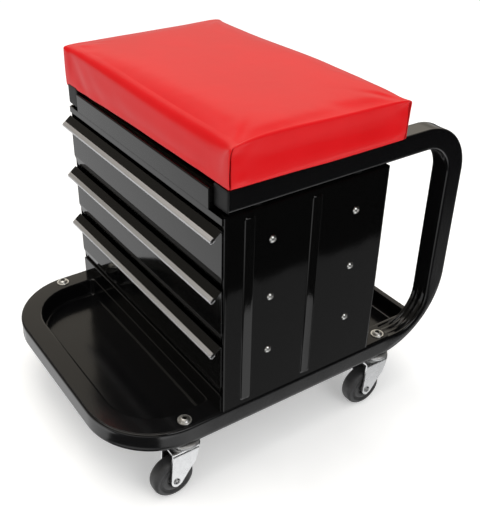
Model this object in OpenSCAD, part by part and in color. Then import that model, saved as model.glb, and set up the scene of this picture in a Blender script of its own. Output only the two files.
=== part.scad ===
// Rolling tool cart with a padded seat, three drawers, two trays and four swivel casters.
// The drawers open towards -Y, the push handles are at +Y and the floor is at z = 0.

/* [Frame] */
// Width over the two side tubes
cart_w = 350; // [330:1:390]
// Side of the square frame tube
tube_size = 25; // [22:0.5:28]
// Wall of the frame tube
tube_wall = 1.5; // [1.2:0.1:2]
// Rounding of the tube's long edges, outside
tube_edge_r = 3; // [2.2:0.1:4]
// Outer radius of the two front corners in plan
front_bend_r = 87; // [70:1:100]
// Outer radius of the bend between a base tube and its upright
foot_bend_r = 80; // [64:1:88]
// Outer radius of the bend at the top of an upright
handle_bend_r = 64; // [50:1:80]
// Distance of the rail's front end behind the cabinet front
rail_setback = 5.5; // [3:0.5:10]

/* [Cabinet] */
// Sheet thickness of the cabinet, tray and drawers
sheet = 1; // [0.8:0.1:1.2]
// Distance from the front tube to the cabinet front
cabinet_setback = 124.5; // [115:0.5:132]
// Length of the cabinet from front to back
cabinet_l = 218; // [200:1:250]
// Distance from the cabinet's back to the rear faces of the handle uprights
rear_bay = 118.5; // [112:0.5:140]
// Height of the fixed strip below the drawers
kick_h = 23.5; // [18:0.5:30]
// Height of the fascia's full-width strip above the drawers
fascia_strip_h = 7; // [5:0.5:9]
// Height of the fascia between the rails
fascia_h = 30; // [26:0.5:30]
// Depth of the folded returns behind the fascia and the kick strip
return_d = 9; // [6:0.5:11]
// Width of the flanges that stiffen the cabinet's sheets
flange_w = 14; // [10:1:16]
// Width of the top flange that carries a rail
rail_flange_w = 25; // [22:1:28]
// Thickness of the folded hem on a side panel's front edge
hem_t = 3; // [2.4:0.1:3.2]
// Width of the pressed ribs on the side panels
rib_w = 13; // [10:0.5:16]
// How far the ribs stand out
rib_h = 2; // [1.4:0.1:2.6]
// First rib's distance behind the cabinet front
rib_front = 32; // [26:1:40]
// Second rib's distance behind the cabinet front
rib_rear = 117; // [100:1:130]

/* [Drawers] */
// Height from one drawer to the next
drawer_pitch = 71; // [64:0.5:80]
// Gap between one drawer front and the next
drawer_gap = 2.3; // [1.8:0.1:3]
// Gap between the top drawer and the fascia
top_gap = 4.5; // [3:0.5:6]
// Distance of the drawer box's rim below the top of the drawer front
box_drop = 9; // [6:0.5:14]
// Distance of the drawer box's back ahead of the cabinet's back
box_setback = 22; // [16:1:40]
// Distance of the slides' middle below the top of the drawer front
slide_drop = 29.3; // [26:0.1:32]
// How far the lip reaches forward
lip_d = 9.9; // [8:0.1:12]
// How far the lip falls
lip_fall = 4; // [3:0.1:5]
// Depth of the edge that hangs down from the lip
lip_edge = 7; // [5:0.5:8]
// Thickness of the grip trim
trim_t = 1; // [0.8:0.1:1.4]
// Outer radius of the grip trim's rounded bottom
trim_r = 2.7; // [2.2:0.1:3.2]
// Height of the inward bevel along a drawer front's lower edge
bevel_h = 12.3; // [8:0.1:14]
// How far the bevel leans in
bevel_in = 2.4; // [1.5:0.1:3]
// Drawer travel
drawer_travel = 150; // [100:5:155]
// Height of a fixed slide rail
slide_h = 32; // [26:1:34]
// Depth of a fixed slide rail
slide_d = 9; // [8:0.1:10]
// Metal thickness of the slides
slide_t = 1.2; // [1:0.1:1.4]
// Running clearance of the slides
slide_gap = 0.3; // [0.2:0.05:0.4]

/* [Tray] */
// Distance of the tray's edge inside the tube's outer face
rim_inset = 2; // [1:0.5:3]
// Depth of both tray pockets below the rim
pocket_d = 24.8; // [18:0.2:25]
// Gap between the front pocket's walls and the tubes
pocket_gap = 1; // [0.6:0.1:2]
// Width of the narrow rim behind the rear pocket
rear_rim_w = 7.5; // [6:0.5:10]
// Distance of the rear rim's edge from the uprights' rear faces
rear_rim_setback = 18.5; // [14:0.5:24]
// Width of the side rim beside the rear pocket
side_rim_w = 30.5; // [29:0.5:36]

/* [Seat] */
// How far the cushion stands out past the tubes on each side
seat_over = 3.8; // [2:0.2:8]
// Length of the cushion
seat_l = 225.3; // [215:0.5:232]
// Distance of the cushion's front behind the cabinet front
seat_setback = 4.4; // [2:0.2:8]
// Height of the cushion at its edge
seat_side_h = 48; // [40:0.5:60]
// Rise of the crown at the middle of the cushion
seat_crown = 5.4; // [3:0.2:8]
// Thickness of the plywood seat board
board_t = 10; // [8:0.5:12]
// Distance of the board's edge inside the cushion
board_inset = 9; // [7:0.5:12]
// Distance of the front crossbar's middle behind the cabinet front
cross_front = 46; // [30:1:60]
// Distance of the rear crossbar's middle ahead of the cabinet's back
cross_rear = 42; // [30:1:60]
// Width of the flat crossbars
cross_w = 30; // [20:1:40]
// Thickness of the flat crossbars
cross_t = 5; // [5:0.5:8]
// Distance between the left and right seat screws
seat_screw_span = 210; // [160:5:250]

/* [Casters] */
// Wheel diameter
wheel_d = 51.2; // [48:0.2:56]
// Wheel width
wheel_w = 18; // [15:0.5:18.5]
// Horizontal distance from the swivel axis back to the axle
caster_trail = 19.5; // [17:0.5:21]
// Clear height from the wheel's top to the underside of the fork's crown
crown_gap = 12.5; // [11:0.5:15]
// Thickness of the fork's crown
crown_t = 3; // [2:0.2:4]
// Thickness of the fork's legs
leg_t = 2.2; // [1.8:0.1:2.6]
// Width between the fork's legs
leg_span = 21.6; // [20.6:0.2:23]
// Radius of the fork's crown
crown_r = 17; // [15:0.5:19]
// How far the legs reach ahead of the swivel axis at the crown
leg_front = 10; // [7:0.5:12]
// How far the legs reach behind the axle at the crown
leg_back = 4.5; // [3:0.5:6]
// Height of the fixed bearing cup
cup_h = 6; // [5:0.5:8]
// Diameter of the balls between the cup and the fork
ball_d = 3; // [2.4:0.1:3.4]
// Number of balls in each caster
ball_count = 12; // [8:1:14]
// Diameter of the caster bolt
caster_bolt_d = 8; // [7:0.5:9]
// Diameter of the wheel's axle
axle_d = 6; // [5:0.5:7]
// Distance of the front swivel axis behind the front tube
front_caster = 84.4; // [78:0.2:90]
// Distance of the rear swivel axis behind the cabinet's back
rear_caster = 27.2; // [24:0.1:30]

/* [Fasteners] */
// Diameter of the slide screws
slide_screw_d = 4; // [3:0.5:4.5]
// Distance of the front slide screws behind the cabinet front
slide_screw_front = 61.6; // [52:0.5:80]
// Distance of the rear slide screws ahead of the cabinet's back
slide_screw_rear = 44.9; // [30:0.5:60]
// Diameter of the screws that hold the rails
rail_screw_d = 6; // [5:0.5:7]
// Diameter of the screws that hold the seat board
seat_screw_d = 5; // [4:0.5:6]
// Height of the spacers between cabinet and rails
spacer_h = 3; // [2:0.5:4]
// Diameter of the spacers
spacer_d = 18; // [14:0.5:20]

/* [Hidden] */
$fn = 64;

// Radial gaps: a free bolt hole, a shaft that turns, and a bearing face
hole_gap = 0.2;
run_gap = 0.06;
face_gap = 0.3;
// A cut runs this far past the face that it opens
past = 1;

// Heights, built up from the floor
wheel_r = wheel_d / 2;
crown_z = wheel_d + crown_gap;
cup_z = crown_z + crown_t + face_gap;
base_z = cup_z + cup_h;
base_top = base_z + tube_size;
deck_z = base_top + sheet;
kick_top = deck_z + kick_h;
front_h = drawer_pitch - drawer_gap;
first_front_z = kick_top + 1.3;
function front_z(level) = first_front_z + level * drawer_pitch;
function front_top(level) = front_z(level) + front_h;
fascia_z = front_top(2) + top_gap;
cabinet_z = fascia_z + fascia_strip_h;
rail_z = cabinet_z + sheet + spacer_h;
rail_top = rail_z + tube_size;
side_h = cabinet_z - deck_z;

// Widths and lengths
side_x = cart_w / 2;
tube_x = side_x - tube_size / 2;
tube_in_x = side_x - tube_size;
cart_l = cabinet_setback + cabinet_l + rear_bay;
front_y = -cart_l / 2;
rear_y = cart_l / 2;
cab_y = front_y + cabinet_setback;
cab_back = cab_y + cabinet_l;
foot_y = rear_y - foot_bend_r;
foot_z = base_z + foot_bend_r;
handle_y = rear_y - handle_bend_r;
handle_z = rail_top - handle_bend_r;
// The side tubes are butt welded to the front tube below the cabinet
weld_y = (cab_y + cab_back) / 2;
cap_t = 2;
rail_front_y = cab_y + rail_setback + cap_t;

// Side panel: plate, hem, ribs
panel_in_x = side_x - sheet;
panel_y = cab_y + 2 * sheet;
hem_l = 7;
rib_margin = 6;
corner_r = 2 * sheet;

// Slides and drawers
slide_y = panel_y + hem_l + 0.5;
slide_back = cab_back - 12;
web_x = panel_in_x - slide_t;
box_x = panel_in_x - slide_d - 2;
runner_tip_x = side_x - hem_t - 0.4;
runner_h = slide_h - 2 * slide_t - 2 * slide_gap;
function slide_z(level) = front_top(level) - slide_drop;
screw_ys = [cab_y + slide_screw_front, cab_back - slide_screw_rear];
levels = [0, 1, 2];
box_back = cab_back - box_setback;
// The box ends just above the bevel of its front
box_h = front_h - bevel_h - box_drop - 1.4;
front_x = side_x - 1.5;

// Rails, spacers, crossbars
cross_ys = [cab_y + cross_front, cab_back - cross_rear];
cross_screw_x = seat_screw_span / 2;
nut_h = 0.77 * rail_screw_d;
rail_head_h = 0.67 * rail_screw_d;

// Seat
seat_x = side_x + seat_over;
seat_y0 = cab_y + seat_setback;
seat_y1 = seat_y0 + seat_l;
seat_z = rail_top + 1.6;
board_x = seat_x - board_inset;

// Casters
caster_ys = [front_y + front_caster, cab_back + rear_caster];
bolt_r = caster_bolt_d / 2;
axle_r = axle_d / 2;
axle_z = wheel_r;
leg_in = leg_span / 2;
leg_out = leg_in + leg_t;
washer_t = 1.2;
washer_r = bolt_r + 4.2;
head_h = 3;
caster_nut_h = 6.5;
hub_r = wheel_r - 10;
ball_ring_r = crown_r - 5.5;

// Square with rounded corners, centred
module round_square(size, r) {
    square([size, size - 2 * r], center = true);
    square([size - 2 * r, size], center = true);
    for (sx = [-1, 1], sy = [-1, 1])
        translate([sx * (size / 2 - r), sy * (size / 2 - r)]) circle(r = r);
}

// Quarter of a round corner: a sector of radius r about [x, y], on the side that sx and sy give
module corner(x, y, r, sx, sy) {
    intersection() {
        translate([x, y]) circle(r = r);
        translate([sx > 0 ? x : x - r, sy > 0 ? y : y - r]) square(r);
    }
}

// Rectangle from y0 to y1, symmetrical about x = 0, with its own corner radius at each end
module round_bay(half_x, y0, y1, r0, r1) {
    translate([-half_x, y0 + r0]) square([2 * half_x, y1 - y0 - r0 - r1]);
    translate([-half_x + r0, y0]) square([2 * (half_x - r0), r0]);
    translate([-half_x + r1, y1 - r1]) square([2 * (half_x - r1), r1]);
    for (s = [-1, 1]) {
        corner(s * (half_x - r0), y0 + r0, r0, s, -1);
        corner(s * (half_x - r1), y1 - r1, r1, s, 1);
    }
}

// Extrusion along x of an outline drawn in y and z
module along_x(x0, x1) {
    translate([x0, 0, 0]) rotate([90, 0, 90]) linear_extrude(x1 - x0) children();
}

module mirror_x(right) {
    if (right) children();
    else mirror([1, 0, 0]) children();
}

module tube_section() {
    difference() {
        round_square(tube_size, tube_edge_r);
        round_square(tube_size - 2 * tube_wall, tube_edge_r - tube_wall);
    }
}

module tube_along_y(x, y0, y1, z) {
    translate([x, y0, z]) rotate([-90, 0, 0]) linear_extrude(y1 - y0) tube_section();
}

// Quarter bend in a vertical plane, starting at its lowest point for a start of 0
module upright_bend(y, z, outer_r, start) {
    translate([tube_x, y, z]) rotate([0, 90, 0]) rotate([0, 0, start])
        rotate_extrude(angle = 90) translate([outer_r - tube_size / 2, 0]) tube_section();
}

module at_casters() {
    for (s = [-1, 1], y = caster_ys) translate([s * tube_x, y, 0]) children();
}

module caster_bolt_holes() {
    at_casters() translate([0, 0, base_z - past])
        cylinder(r = bolt_r + hole_gap, h = tube_size + sheet + 2 * past);
}

// Front half of the base: crossbar, two plan bends and two straight runs
module base_tube() {
    z = base_z + tube_size / 2;
    centre_x = side_x - front_bend_r;
    centre_y = front_y + front_bend_r;
    color("#17181a") difference() {
        union() {
            translate([-centre_x, front_y + tube_size / 2, z]) rotate([0, 90, 0])
                linear_extrude(2 * centre_x) tube_section();
            for (s = [0, 1])
                translate([(2 * s - 1) * centre_x, centre_y, z]) rotate([0, 0, 180 + 90 * s])
                    rotate_extrude(angle = 90)
                        translate([front_bend_r - tube_size / 2, 0]) tube_section();
            for (s = [-1, 1]) tube_along_y(s * tube_x, centre_y, weld_y, z);
        }
        caster_bolt_holes();
    }
}

// Base run, foot bend, upright, top bend and rail of one side
module handle_tube(right) {
    color("#17181a") mirror_x(right) difference() {
        union() {
            tube_along_y(tube_x, weld_y, foot_y, base_z + tube_size / 2);
            upright_bend(foot_y, foot_z, foot_bend_r, 0);
            translate([tube_x, rear_y - tube_size / 2, foot_z])
                linear_extrude(handle_z - foot_z) tube_section();
            upright_bend(handle_y, handle_z, handle_bend_r, 90);
            tube_along_y(tube_x, rail_front_y, handle_y, rail_z + tube_size / 2);
        }
        caster_bolt_holes();
        for (y = cross_ys) translate([tube_x, y, rail_z - past])
            cylinder(d = rail_screw_d + 2 * hole_gap, h = tube_wall + 2 * past);
    }
}

module tube_end_caps() {
    plug_l = 15;
    plug_gap = 0.1;
    color("#101112") for (s = [-1, 1])
        translate([s * tube_x, rail_front_y, rail_z + tube_size / 2]) rotate([-90, 0, 0]) {
            translate([0, 0, -cap_t]) linear_extrude(cap_t) round_square(tube_size, tube_edge_r);
            linear_extrude(plug_l)
                round_square(tube_size - 2 * (tube_wall + plug_gap), tube_edge_r - tube_wall);
        }
}

// Outline of the tray's rim seen from above
module rim_plan() {
    r = front_bend_r - rim_inset;
    x = side_x - rim_inset;
    translate([0, 0]) round_bay(x, front_y + rim_inset, foot_y, r, 0.5);
    back_y = rear_y - rear_rim_setback;
    round_bay(tube_in_x - 0.5, foot_y - 20, back_y, 1, 6);
}

// The front pocket follows the inside of the bent tube at an even gap
module front_pocket(grow) {
    off = pocket_gap + sheet - grow;
    round_bay(tube_in_x - off, front_y + tube_size + off, cab_y - sheet + grow,
        front_bend_r - tube_size - off, 5 + grow);
}

module rear_pocket(grow) {
    round_bay(side_x - side_rim_w + grow, cab_back + 3 - grow,
        rear_y - rear_rim_setback - rear_rim_w + grow, 5 + grow, 8 + grow);
}

// One pressed sheet: flat rim on the tubes, a pocket at the front and one at the back
module tray() {
    floor_z = deck_z - pocket_d;
    color("#17181a") difference() {
        union() {
            translate([0, 0, base_top]) linear_extrude(sheet) rim_plan();
            translate([0, 0, floor_z - sheet]) linear_extrude(pocket_d) {
                front_pocket(sheet);
                rear_pocket(sheet);
            }
        }
        translate([0, 0, floor_z]) linear_extrude(pocket_d + past) {
            front_pocket(0);
            rear_pocket(0);
        }
        caster_bolt_holes();
    }
}

// Pressed rib, drawn in y and z
module rib_outline(y, w) {
    z0 = deck_z + rib_margin + rib_w / 2;
    z1 = cabinet_z - rib_margin - rib_w / 2;
    translate([y - w / 2, z0]) square([w, z1 - z0]);
    for (z = [z0, z1]) translate([y, z]) circle(d = w);
}

module slide_screw_holes(x0, x1) {
    for (y = screw_ys, level = levels) translate([x0, y, slide_z(level)]) rotate([0, 90, 0])
        cylinder(d = slide_screw_d + 2 * hole_gap, h = x1 - x0);
}

// Plate with a hem in front, a return behind, a top flange and two pressed ribs
module side_panel(right) {
    ribs = [cab_y + rib_front, cab_y + rib_rear];
    color("#1b1c1e") mirror_x(right) difference() {
        union() {
            translate([0, 0, deck_z]) linear_extrude(side_h) {
                translate([panel_in_x, panel_y + hem_t / 2])
                    square([sheet, cab_back - panel_y - corner_r - hem_t / 2]);
                translate([side_x - flange_w, cab_back - sheet]) square([flange_w - corner_r, sheet]);
                translate([side_x - corner_r, cab_back - corner_r]) intersection() {
                    difference() {
                        circle(r = corner_r);
                        circle(r = corner_r - sheet);
                    }
                    square(corner_r + past);
                }
                translate([side_x - hem_t, panel_y + hem_t / 2]) square([hem_t, hem_l - hem_t / 2]);
                translate([side_x - hem_t / 2, panel_y + hem_t / 2]) circle(d = hem_t);
            }
            translate([side_x - rail_flange_w, panel_y + hem_l, cabinet_z - sheet])
                cube([rail_flange_w - sheet / 2, cabinet_l - hem_l - 4 * sheet, sheet]);
            for (y = ribs) along_x(panel_in_x, side_x + rib_h) rib_outline(y, rib_w);
        }
        for (y = ribs) along_x(panel_in_x - past, side_x + rib_h - sheet)
            rib_outline(y, rib_w - 2 * sheet);
        slide_screw_holes(panel_in_x - past, side_x + past);
        rail_screw_holes(cabinet_z - sheet - past, sheet + 2 * past);
    }
}

module rail_screw_holes(z, h) {
    for (s = [-1, 1], y = cross_ys) translate([s * tube_x, y, z])
        cylinder(d = rail_screw_d + 2 * hole_gap, h = h);
}

module back_panel() {
    color("#1b1c1e") translate([-side_x + 2.5 * sheet, cab_back - 2 * sheet, deck_z + sheet])
        cube([cart_w - 5 * sheet, sheet, side_h - 2.5 * sheet]);
}

// Flat floor between the hems, with an upturned flange on each of its four sides
module cabinet_floor() {
    hem_x = side_x - hem_t;
    end_x = hem_x - 2 * hem_t;
    y1 = cab_back - 2 * sheet;
    wide_y = panel_y + hem_l;
    color("#1b1c1e") {
        translate([-hem_x, cab_y + sheet, deck_z]) cube([2 * hem_x, y1 - cab_y - sheet, sheet]);
        translate([-panel_in_x, wide_y, deck_z]) cube([2 * panel_in_x, y1 - wide_y, sheet]);
        for (s = [0, 1]) mirror([s, 0, 0]) translate([panel_in_x - sheet, wide_y, deck_z])
            cube([sheet, y1 - wide_y, flange_w]);
        for (y = [cab_y + sheet, y1 - sheet])
            translate([-end_x, y, deck_z]) cube([2 * end_x, sheet, flange_w]);
    }
}

module cabinet_top() {
    w = 2 * (side_x - 4 * sheet);
    color("#1b1c1e") difference() {
        translate([-w / 2, cab_y + sheet + return_d, cabinet_z])
            cube([w, cabinet_l - return_d - 3 * sheet, sheet]);
        rail_screw_holes(cabinet_z - past, sheet + 2 * past);
    }
}

// Strip folded back along its top edge, below the bottom drawer
module kick_strip() {
    return_x = side_x - hem_t - 1;
    color("#1b1c1e") {
        translate([-front_x, cab_y, deck_z]) cube([2 * front_x, sheet, kick_h]);
        translate([-return_x, cab_y, kick_top - sheet]) cube([2 * return_x, return_d + sheet, sheet]);
    }
}

// Full-width strip, a taller middle between the rails, and folded returns
module fascia() {
    mid_x = tube_in_x - 0.7;
    return_x = side_x - hem_t - 1;
    top = fascia_z + fascia_h;
    color("#1b1c1e") {
        translate([-front_x, cab_y, fascia_z]) cube([2 * front_x, sheet, fascia_strip_h]);
        translate([-mid_x, cab_y, fascia_z]) cube([2 * mid_x, sheet, fascia_h]);
        translate([-mid_x, cab_y, top - sheet]) cube([2 * mid_x, return_d + sheet, sheet]);
        translate([-return_x, cab_y, fascia_z]) cube([2 * return_x, return_d + sheet, sheet]);
        for (s = [-1, 1]) translate([s * mid_x - (s > 0 ? sheet : 0), cab_y, cabinet_z])
            cube([sheet, return_d + sheet, top - cabinet_z]);
    }
}

// Channel open towards the middle of the cart, screwed to the side panel
module slide_rails(right) {
    color("#9a9c9e") mirror_x(right) difference() {
        for (level = levels) translate([0, slide_y, slide_z(level) - slide_h / 2]) {
            translate([web_x, 0, 0]) cube([slide_t, slide_back - slide_y, slide_h]);
            for (z = [0, slide_h - slide_t]) translate([panel_in_x - slide_d, 0, z])
                cube([slide_d, slide_back - slide_y, slide_t]);
        }
        slide_screw_holes(web_x - past, panel_in_x + past);
    }
}

module at_slide_screws() {
    for (s = [-1, 1], y = screw_ys, level = levels)
        translate([s * side_x, y, slide_z(level)]) rotate([0, s * 90, 0]) children();
}

// Domed pan-head screws, with a cross recess as two slots
module slide_screws() {
    head_r = slide_screw_d * 1.1;
    rise = slide_screw_d * 0.55;
    dome_r = (head_r * head_r + rise * rise) / (2 * rise);
    tail = sheet + slide_t + 4;
    color("#d8dadc") at_slide_screws() difference() {
        union() {
            translate([0, 0, -tail]) cylinder(d = slide_screw_d, h = tail + rise / 2);
            intersection() {
                translate([0, 0, rise - dome_r]) sphere(r = dome_r);
                cylinder(r = head_r, h = rise + past);
            }
        }
        for (a = [0, 90]) rotate([0, 0, a]) translate([-head_r * 0.5, -0.45, rise * 0.45])
            cube([head_r, 0.9, rise]);
    }
}

module slide_nuts() {
    color("#b0b2b4") at_slide_screws() translate([0, 0, -sheet - slide_t - 3]) difference() {
        cylinder(d = slide_screw_d * 1.9, h = 3, $fn = 6);
        translate([0, 0, -past]) cylinder(d = slide_screw_d + 0.02, h = 3 + 2 * past);
    }
}

module at_rail_screws(z) {
    for (s = [-1, 1], y = cross_ys) translate([s * tube_x, y, z]) children();
}

module rail_spacers() {
    color("#b0b2b4") at_rail_screws(cabinet_z + sheet) difference() {
        cylinder(d = spacer_d, h = spacer_h);
        translate([0, 0, -past]) cylinder(d = rail_screw_d + 2 * hole_gap, h = spacer_h + 2 * past);
    }
}

// Hexagon screws from inside the cabinet up into the rails
module rail_screws() {
    grip = 2 * sheet + spacer_h + tube_wall + nut_h + rail_screw_d / 3;
    color("#b0b2b4") at_rail_screws(cabinet_z - sheet) {
        translate([0, 0, -rail_head_h]) cylinder(d = rail_screw_d * 1.9, h = rail_head_h, $fn = 6);
        cylinder(d = rail_screw_d, h = grip);
    }
}

module rail_nuts() {
    color("#b0b2b4") at_rail_screws(rail_z + tube_wall) difference() {
        cylinder(d = rail_screw_d * 1.9, h = nut_h, $fn = 6);
        translate([0, 0, -past]) cylinder(d = rail_screw_d + 0.02, h = nut_h + 2 * past);
    }
}

// Flat bars between the rails, which carry the seat board
module seat_crossbars() {
    color("#17181a") difference() {
        for (y = cross_ys) translate([-tube_in_x, y - cross_w / 2, rail_top - cross_t])
            cube([2 * tube_in_x, cross_w, cross_t]);
        seat_screw_holes(rail_top - cross_t - past, cross_t + 2 * past);
    }
}

module seat_screw_holes(z, h) {
    for (s = [-1, 1], y = cross_ys) translate([s * cross_screw_x, y, z])
        cylinder(d = seat_screw_d + 2 * hole_gap, h = h);
}

module seat_screws() {
    color("#b0b2b4") for (s = [-1, 1], y = cross_ys)
        translate([s * cross_screw_x, y, rail_top - cross_t]) {
            translate([0, 0, -3]) cylinder(d = seat_screw_d * 2, h = 3);
            cylinder(d = seat_screw_d, h = cross_t + board_t * 0.8);
        }
}

module seat_board() {
    y0 = seat_y0 + board_inset;
    color("#a9865a") difference() {
        translate([-board_x, y0, rail_top]) cube([2 * board_x, seat_y1 - board_inset - y0, board_t]);
        seat_screw_holes(rail_top - past, board_t * 0.8 + past);
    }
}

// Cushion: rings of points round a rounded rectangle, one above the other
corner_steps = 6;
side_steps = 8;
seat_rings = [[2.6, 0, 17], [0.8, 0.14, 16], [0, 0.42, 15], [0.5, 0.72, 15], [2.2, 0.88, 16],
    [5.6, 0.97, 18], [11, 1, 20]];
seat_domes = [[0.28, 0.42], [0.5, 0.72], [0.75, 0.94]];
seat_pull = 1.1;
// A point on a quarter: corner arc first, then the side that follows it
function quarter(ax, ay, r, k, swap) = let (s = (k - corner_steps) / side_steps)
    k < corner_steps
    ? let (a = 90 * k / corner_steps) [ax - r + r * cos(a), ay - r + r * sin(a)]
    : let (pull = seat_pull * sin(180 * s), run = 2 * ((swap ? ay : ax) - r))
        [ax - r - (swap ? 0 : s * run) - (swap ? pull : 0),
         ay - (swap ? 0 : pull) - (swap ? s * run : 0)];
function ring_xy(ax, ay, r) = [
    for (q = [0:3], k = [0:corner_steps + side_steps - 1])
        let (odd = q % 2 == 1, p = quarter(odd ? ay : ax, odd ? ax : ay, r, k, false))
        q == 0 ? [p[0], p[1]] : q == 1 ? [-p[1], p[0]] : q == 2 ? [-p[0], -p[1]] : [p[1], -p[0]]];
function lift(points, z) = [for (p = points) [p[0], p[1], z]];

module cushion_form() {
    ax = seat_x;
    ay = seat_l / 2;
    n = 4 * (corner_steps + side_steps);
    last = seat_rings[len(seat_rings) - 1];
    edge_x = ax - last[0];
    edge_y = ay - last[0];
    walls = [for (r = seat_rings) lift(ring_xy(ax - r[0], ay - r[0], r[2]), r[1] * seat_side_h)];
    domes = [for (d = seat_domes)
        lift(ring_xy(edge_x - d[0] * edge_y, edge_y * (1 - d[0]), last[2] * (1 - d[0])),
            seat_side_h + d[1] * seat_crown)];
    rings = concat(walls, domes);
    count = len(rings);
    points = concat([for (r = rings) for (p = r) p], [[0, 0, 0], [0, 0, seat_side_h + seat_crown]]);
    faces = concat(
        [for (i = [0:count - 2], k = [0:n - 1]) [i * n + k, (i + 1) * n + k, i * n + (k + 1) % n]],
        [for (i = [0:count - 2], k = [0:n - 1])
            [i * n + (k + 1) % n, (i + 1) * n + k, (i + 1) * n + (k + 1) % n]],
        [for (k = [0:n - 1]) [count * n, k, (k + 1) % n]],
        [for (k = [0:n - 1]) [count * n + 1, (count - 1) * n + (k + 1) % n, (count - 1) * n + k]]);
    translate([0, (seat_y0 + seat_y1) / 2, seat_z]) polyhedron(points, faces);
}

module seat_cushion() {
    fit = 0.3;
    y0 = seat_y0 + board_inset - fit;
    color("#d5222a") difference() {
        cushion_form();
        translate([-board_x - fit, y0, rail_top - past])
            cube([2 * (board_x + fit), seat_y1 - board_inset + fit - y0, board_t + past]);
    }
}

// The lip's hanging edge and the trim lean forward by this much for each mm down
lip_lean = 0.25;
function edge_y(d) = -lip_d - lip_lean * d;

// Folded drawer front in y and z: bevel, face, lip and the lip's hanging edge
module front_section() {
    end_z = -lip_fall - lip_edge;
    polygon([[sheet, bevel_h - front_h], [sheet, -0.3 * sheet], [0.7 * sheet, 0], [-0.2, 0],
        [-lip_d, -lip_fall], [edge_y(lip_edge), end_z], [edge_y(lip_edge) + sheet, end_z],
        [sheet - lip_d, -lip_fall - 0.7 * sheet], [0, -1.1 * sheet],
        [0, bevel_h - front_h - 0.2 * sheet], [bevel_in, -front_h], [bevel_in + sheet, -front_h]]);
}

module drawer_front(level) {
    mitre = 4.5;
    color("#232527") difference() {
        translate([0, cab_y, front_top(level)]) along_x(-front_x, front_x) front_section();
        for (s = [-1, 1]) translate([s * front_x, cab_y - lip_d, front_z(level) - past])
            rotate([-90, 0, 0]) linear_extrude(2 * lip_d) polygon([[-s * mitre, -past],
                [-s * mitre, 0], [s * past, -bevel_h - past], [s * past, past]]);
    }
}

module drawer_box(level) {
    y0 = cab_y + sheet;
    l = box_back - y0;
    z = front_top(level) - box_drop - box_h;
    color("#2a2c2e") translate([-box_x, y0, z]) difference() {
        cube([2 * box_x, l, box_h]);
        translate([sheet, sheet, sheet]) cube([2 * (box_x - sheet), l - 2 * sheet, box_h]);
    }
}

// Extruded grip that lies on the lip's hanging edge and curls back below it
module drawer_trim(level) {
    depth = lip_edge + 1.5;
    bend_y = edge_y(depth) - trim_t + trim_r;
    bend_z = -lip_fall - depth;
    in_r = trim_r - trim_t;
    back_z = bend_z + 2;
    trim_x = front_x - 1.5;
    color("#c9cbcd") translate([0, cab_y, front_top(level)]) along_x(-trim_x, trim_x) {
        polygon([[-lip_d, -lip_fall], [-lip_d - trim_t, -lip_fall + 0.3],
            [bend_y - trim_r, bend_z], [bend_y - in_r, bend_z]]);
        translate([bend_y, bend_z]) difference() {
            circle(r = trim_r);
            circle(r = in_r);
            translate([-trim_r - past, 0]) square([2 * (trim_r + past), trim_r + past]);
        }
        translate([bend_y + in_r, bend_z]) square([trim_t, back_z - bend_z]);
    }
}

// Channels on the drawer's sides, which run inside the fixed rails
module drawer_runners(level) {
    y0 = panel_y - sheet;
    l = box_back + 6 - y0;
    color("#b4b6b8") for (s = [0, 1]) mirror([s, 0, 0])
        translate([box_x, y0, slide_z(level) - runner_h / 2]) {
            cube([slide_t, l, runner_h]);
            for (z = [0, runner_h - slide_t]) translate([0, 0, z])
                cube([runner_tip_x - box_x, l, slide_t]);
        }
}

// Ring-shaped cut for the balls, halfway between cup and crown
module ball_groove(gap) {
    translate([0, 0, cup_z - face_gap / 2]) rotate_extrude()
        translate([ball_ring_r, 0]) circle(r = ball_d / 2 + gap);
}

module caster_cups() {
    color("#c2c4c6") at_casters() difference() {
        translate([0, 0, cup_z]) {
            cylinder(r = crown_r - 1.5, h = cup_h / 2);
            translate([0, 0, cup_h / 2]) cylinder(r = crown_r - 0.5, h = cup_h / 2);
        }
        translate([0, 0, cup_z - past]) cylinder(r = bolt_r + hole_gap, h = cup_h + 2 * past);
        ball_groove(run_gap);
    }
}

module caster_balls() {
    color("#d8dadc") at_casters() for (i = [0:ball_count - 1]) rotate([0, 0, i * 360 / ball_count])
        translate([ball_ring_r, 0, cup_z - face_gap / 2]) sphere(d = ball_d);
}

module caster_washers() {
    color("#d8dadc") at_casters() translate([0, 0, deck_z]) difference() {
        cylinder(r = washer_r, h = washer_t);
        translate([0, 0, -past]) cylinder(r = bolt_r + hole_gap, h = washer_t + 2 * past);
    }
}

// Socket-head bolts from the tray down through tube, cup and fork
module caster_bolts() {
    head_z = deck_z + washer_t;
    end_z = crown_z - face_gap - caster_nut_h - 1.5;
    color("#d8dadc") at_casters() difference() {
        union() {
            translate([0, 0, end_z]) cylinder(r = bolt_r, h = head_z - end_z + head_h / 2);
            translate([0, 0, head_z]) cylinder(r = bolt_r + 2.6, h = head_h);
        }
        translate([0, 0, head_z + head_h / 3]) cylinder(r = bolt_r * 0.65, h = head_h, $fn = 6);
    }
}

module caster_nuts() {
    color("#b0b2b4") at_casters() translate([0, 0, crown_z - face_gap - caster_nut_h]) difference() {
        cylinder(r = bolt_r * 1.8, h = caster_nut_h, $fn = 6);
        translate([0, 0, -past]) cylinder(r = bolt_r + 0.01, h = caster_nut_h + 2 * past);
    }
}

// Places a caster part at its swivel axis
module at_caster(right, rear) {
    translate([(right ? 1 : -1) * tube_x, caster_ys[rear ? 1 : 0], 0]) children();
}

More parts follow.
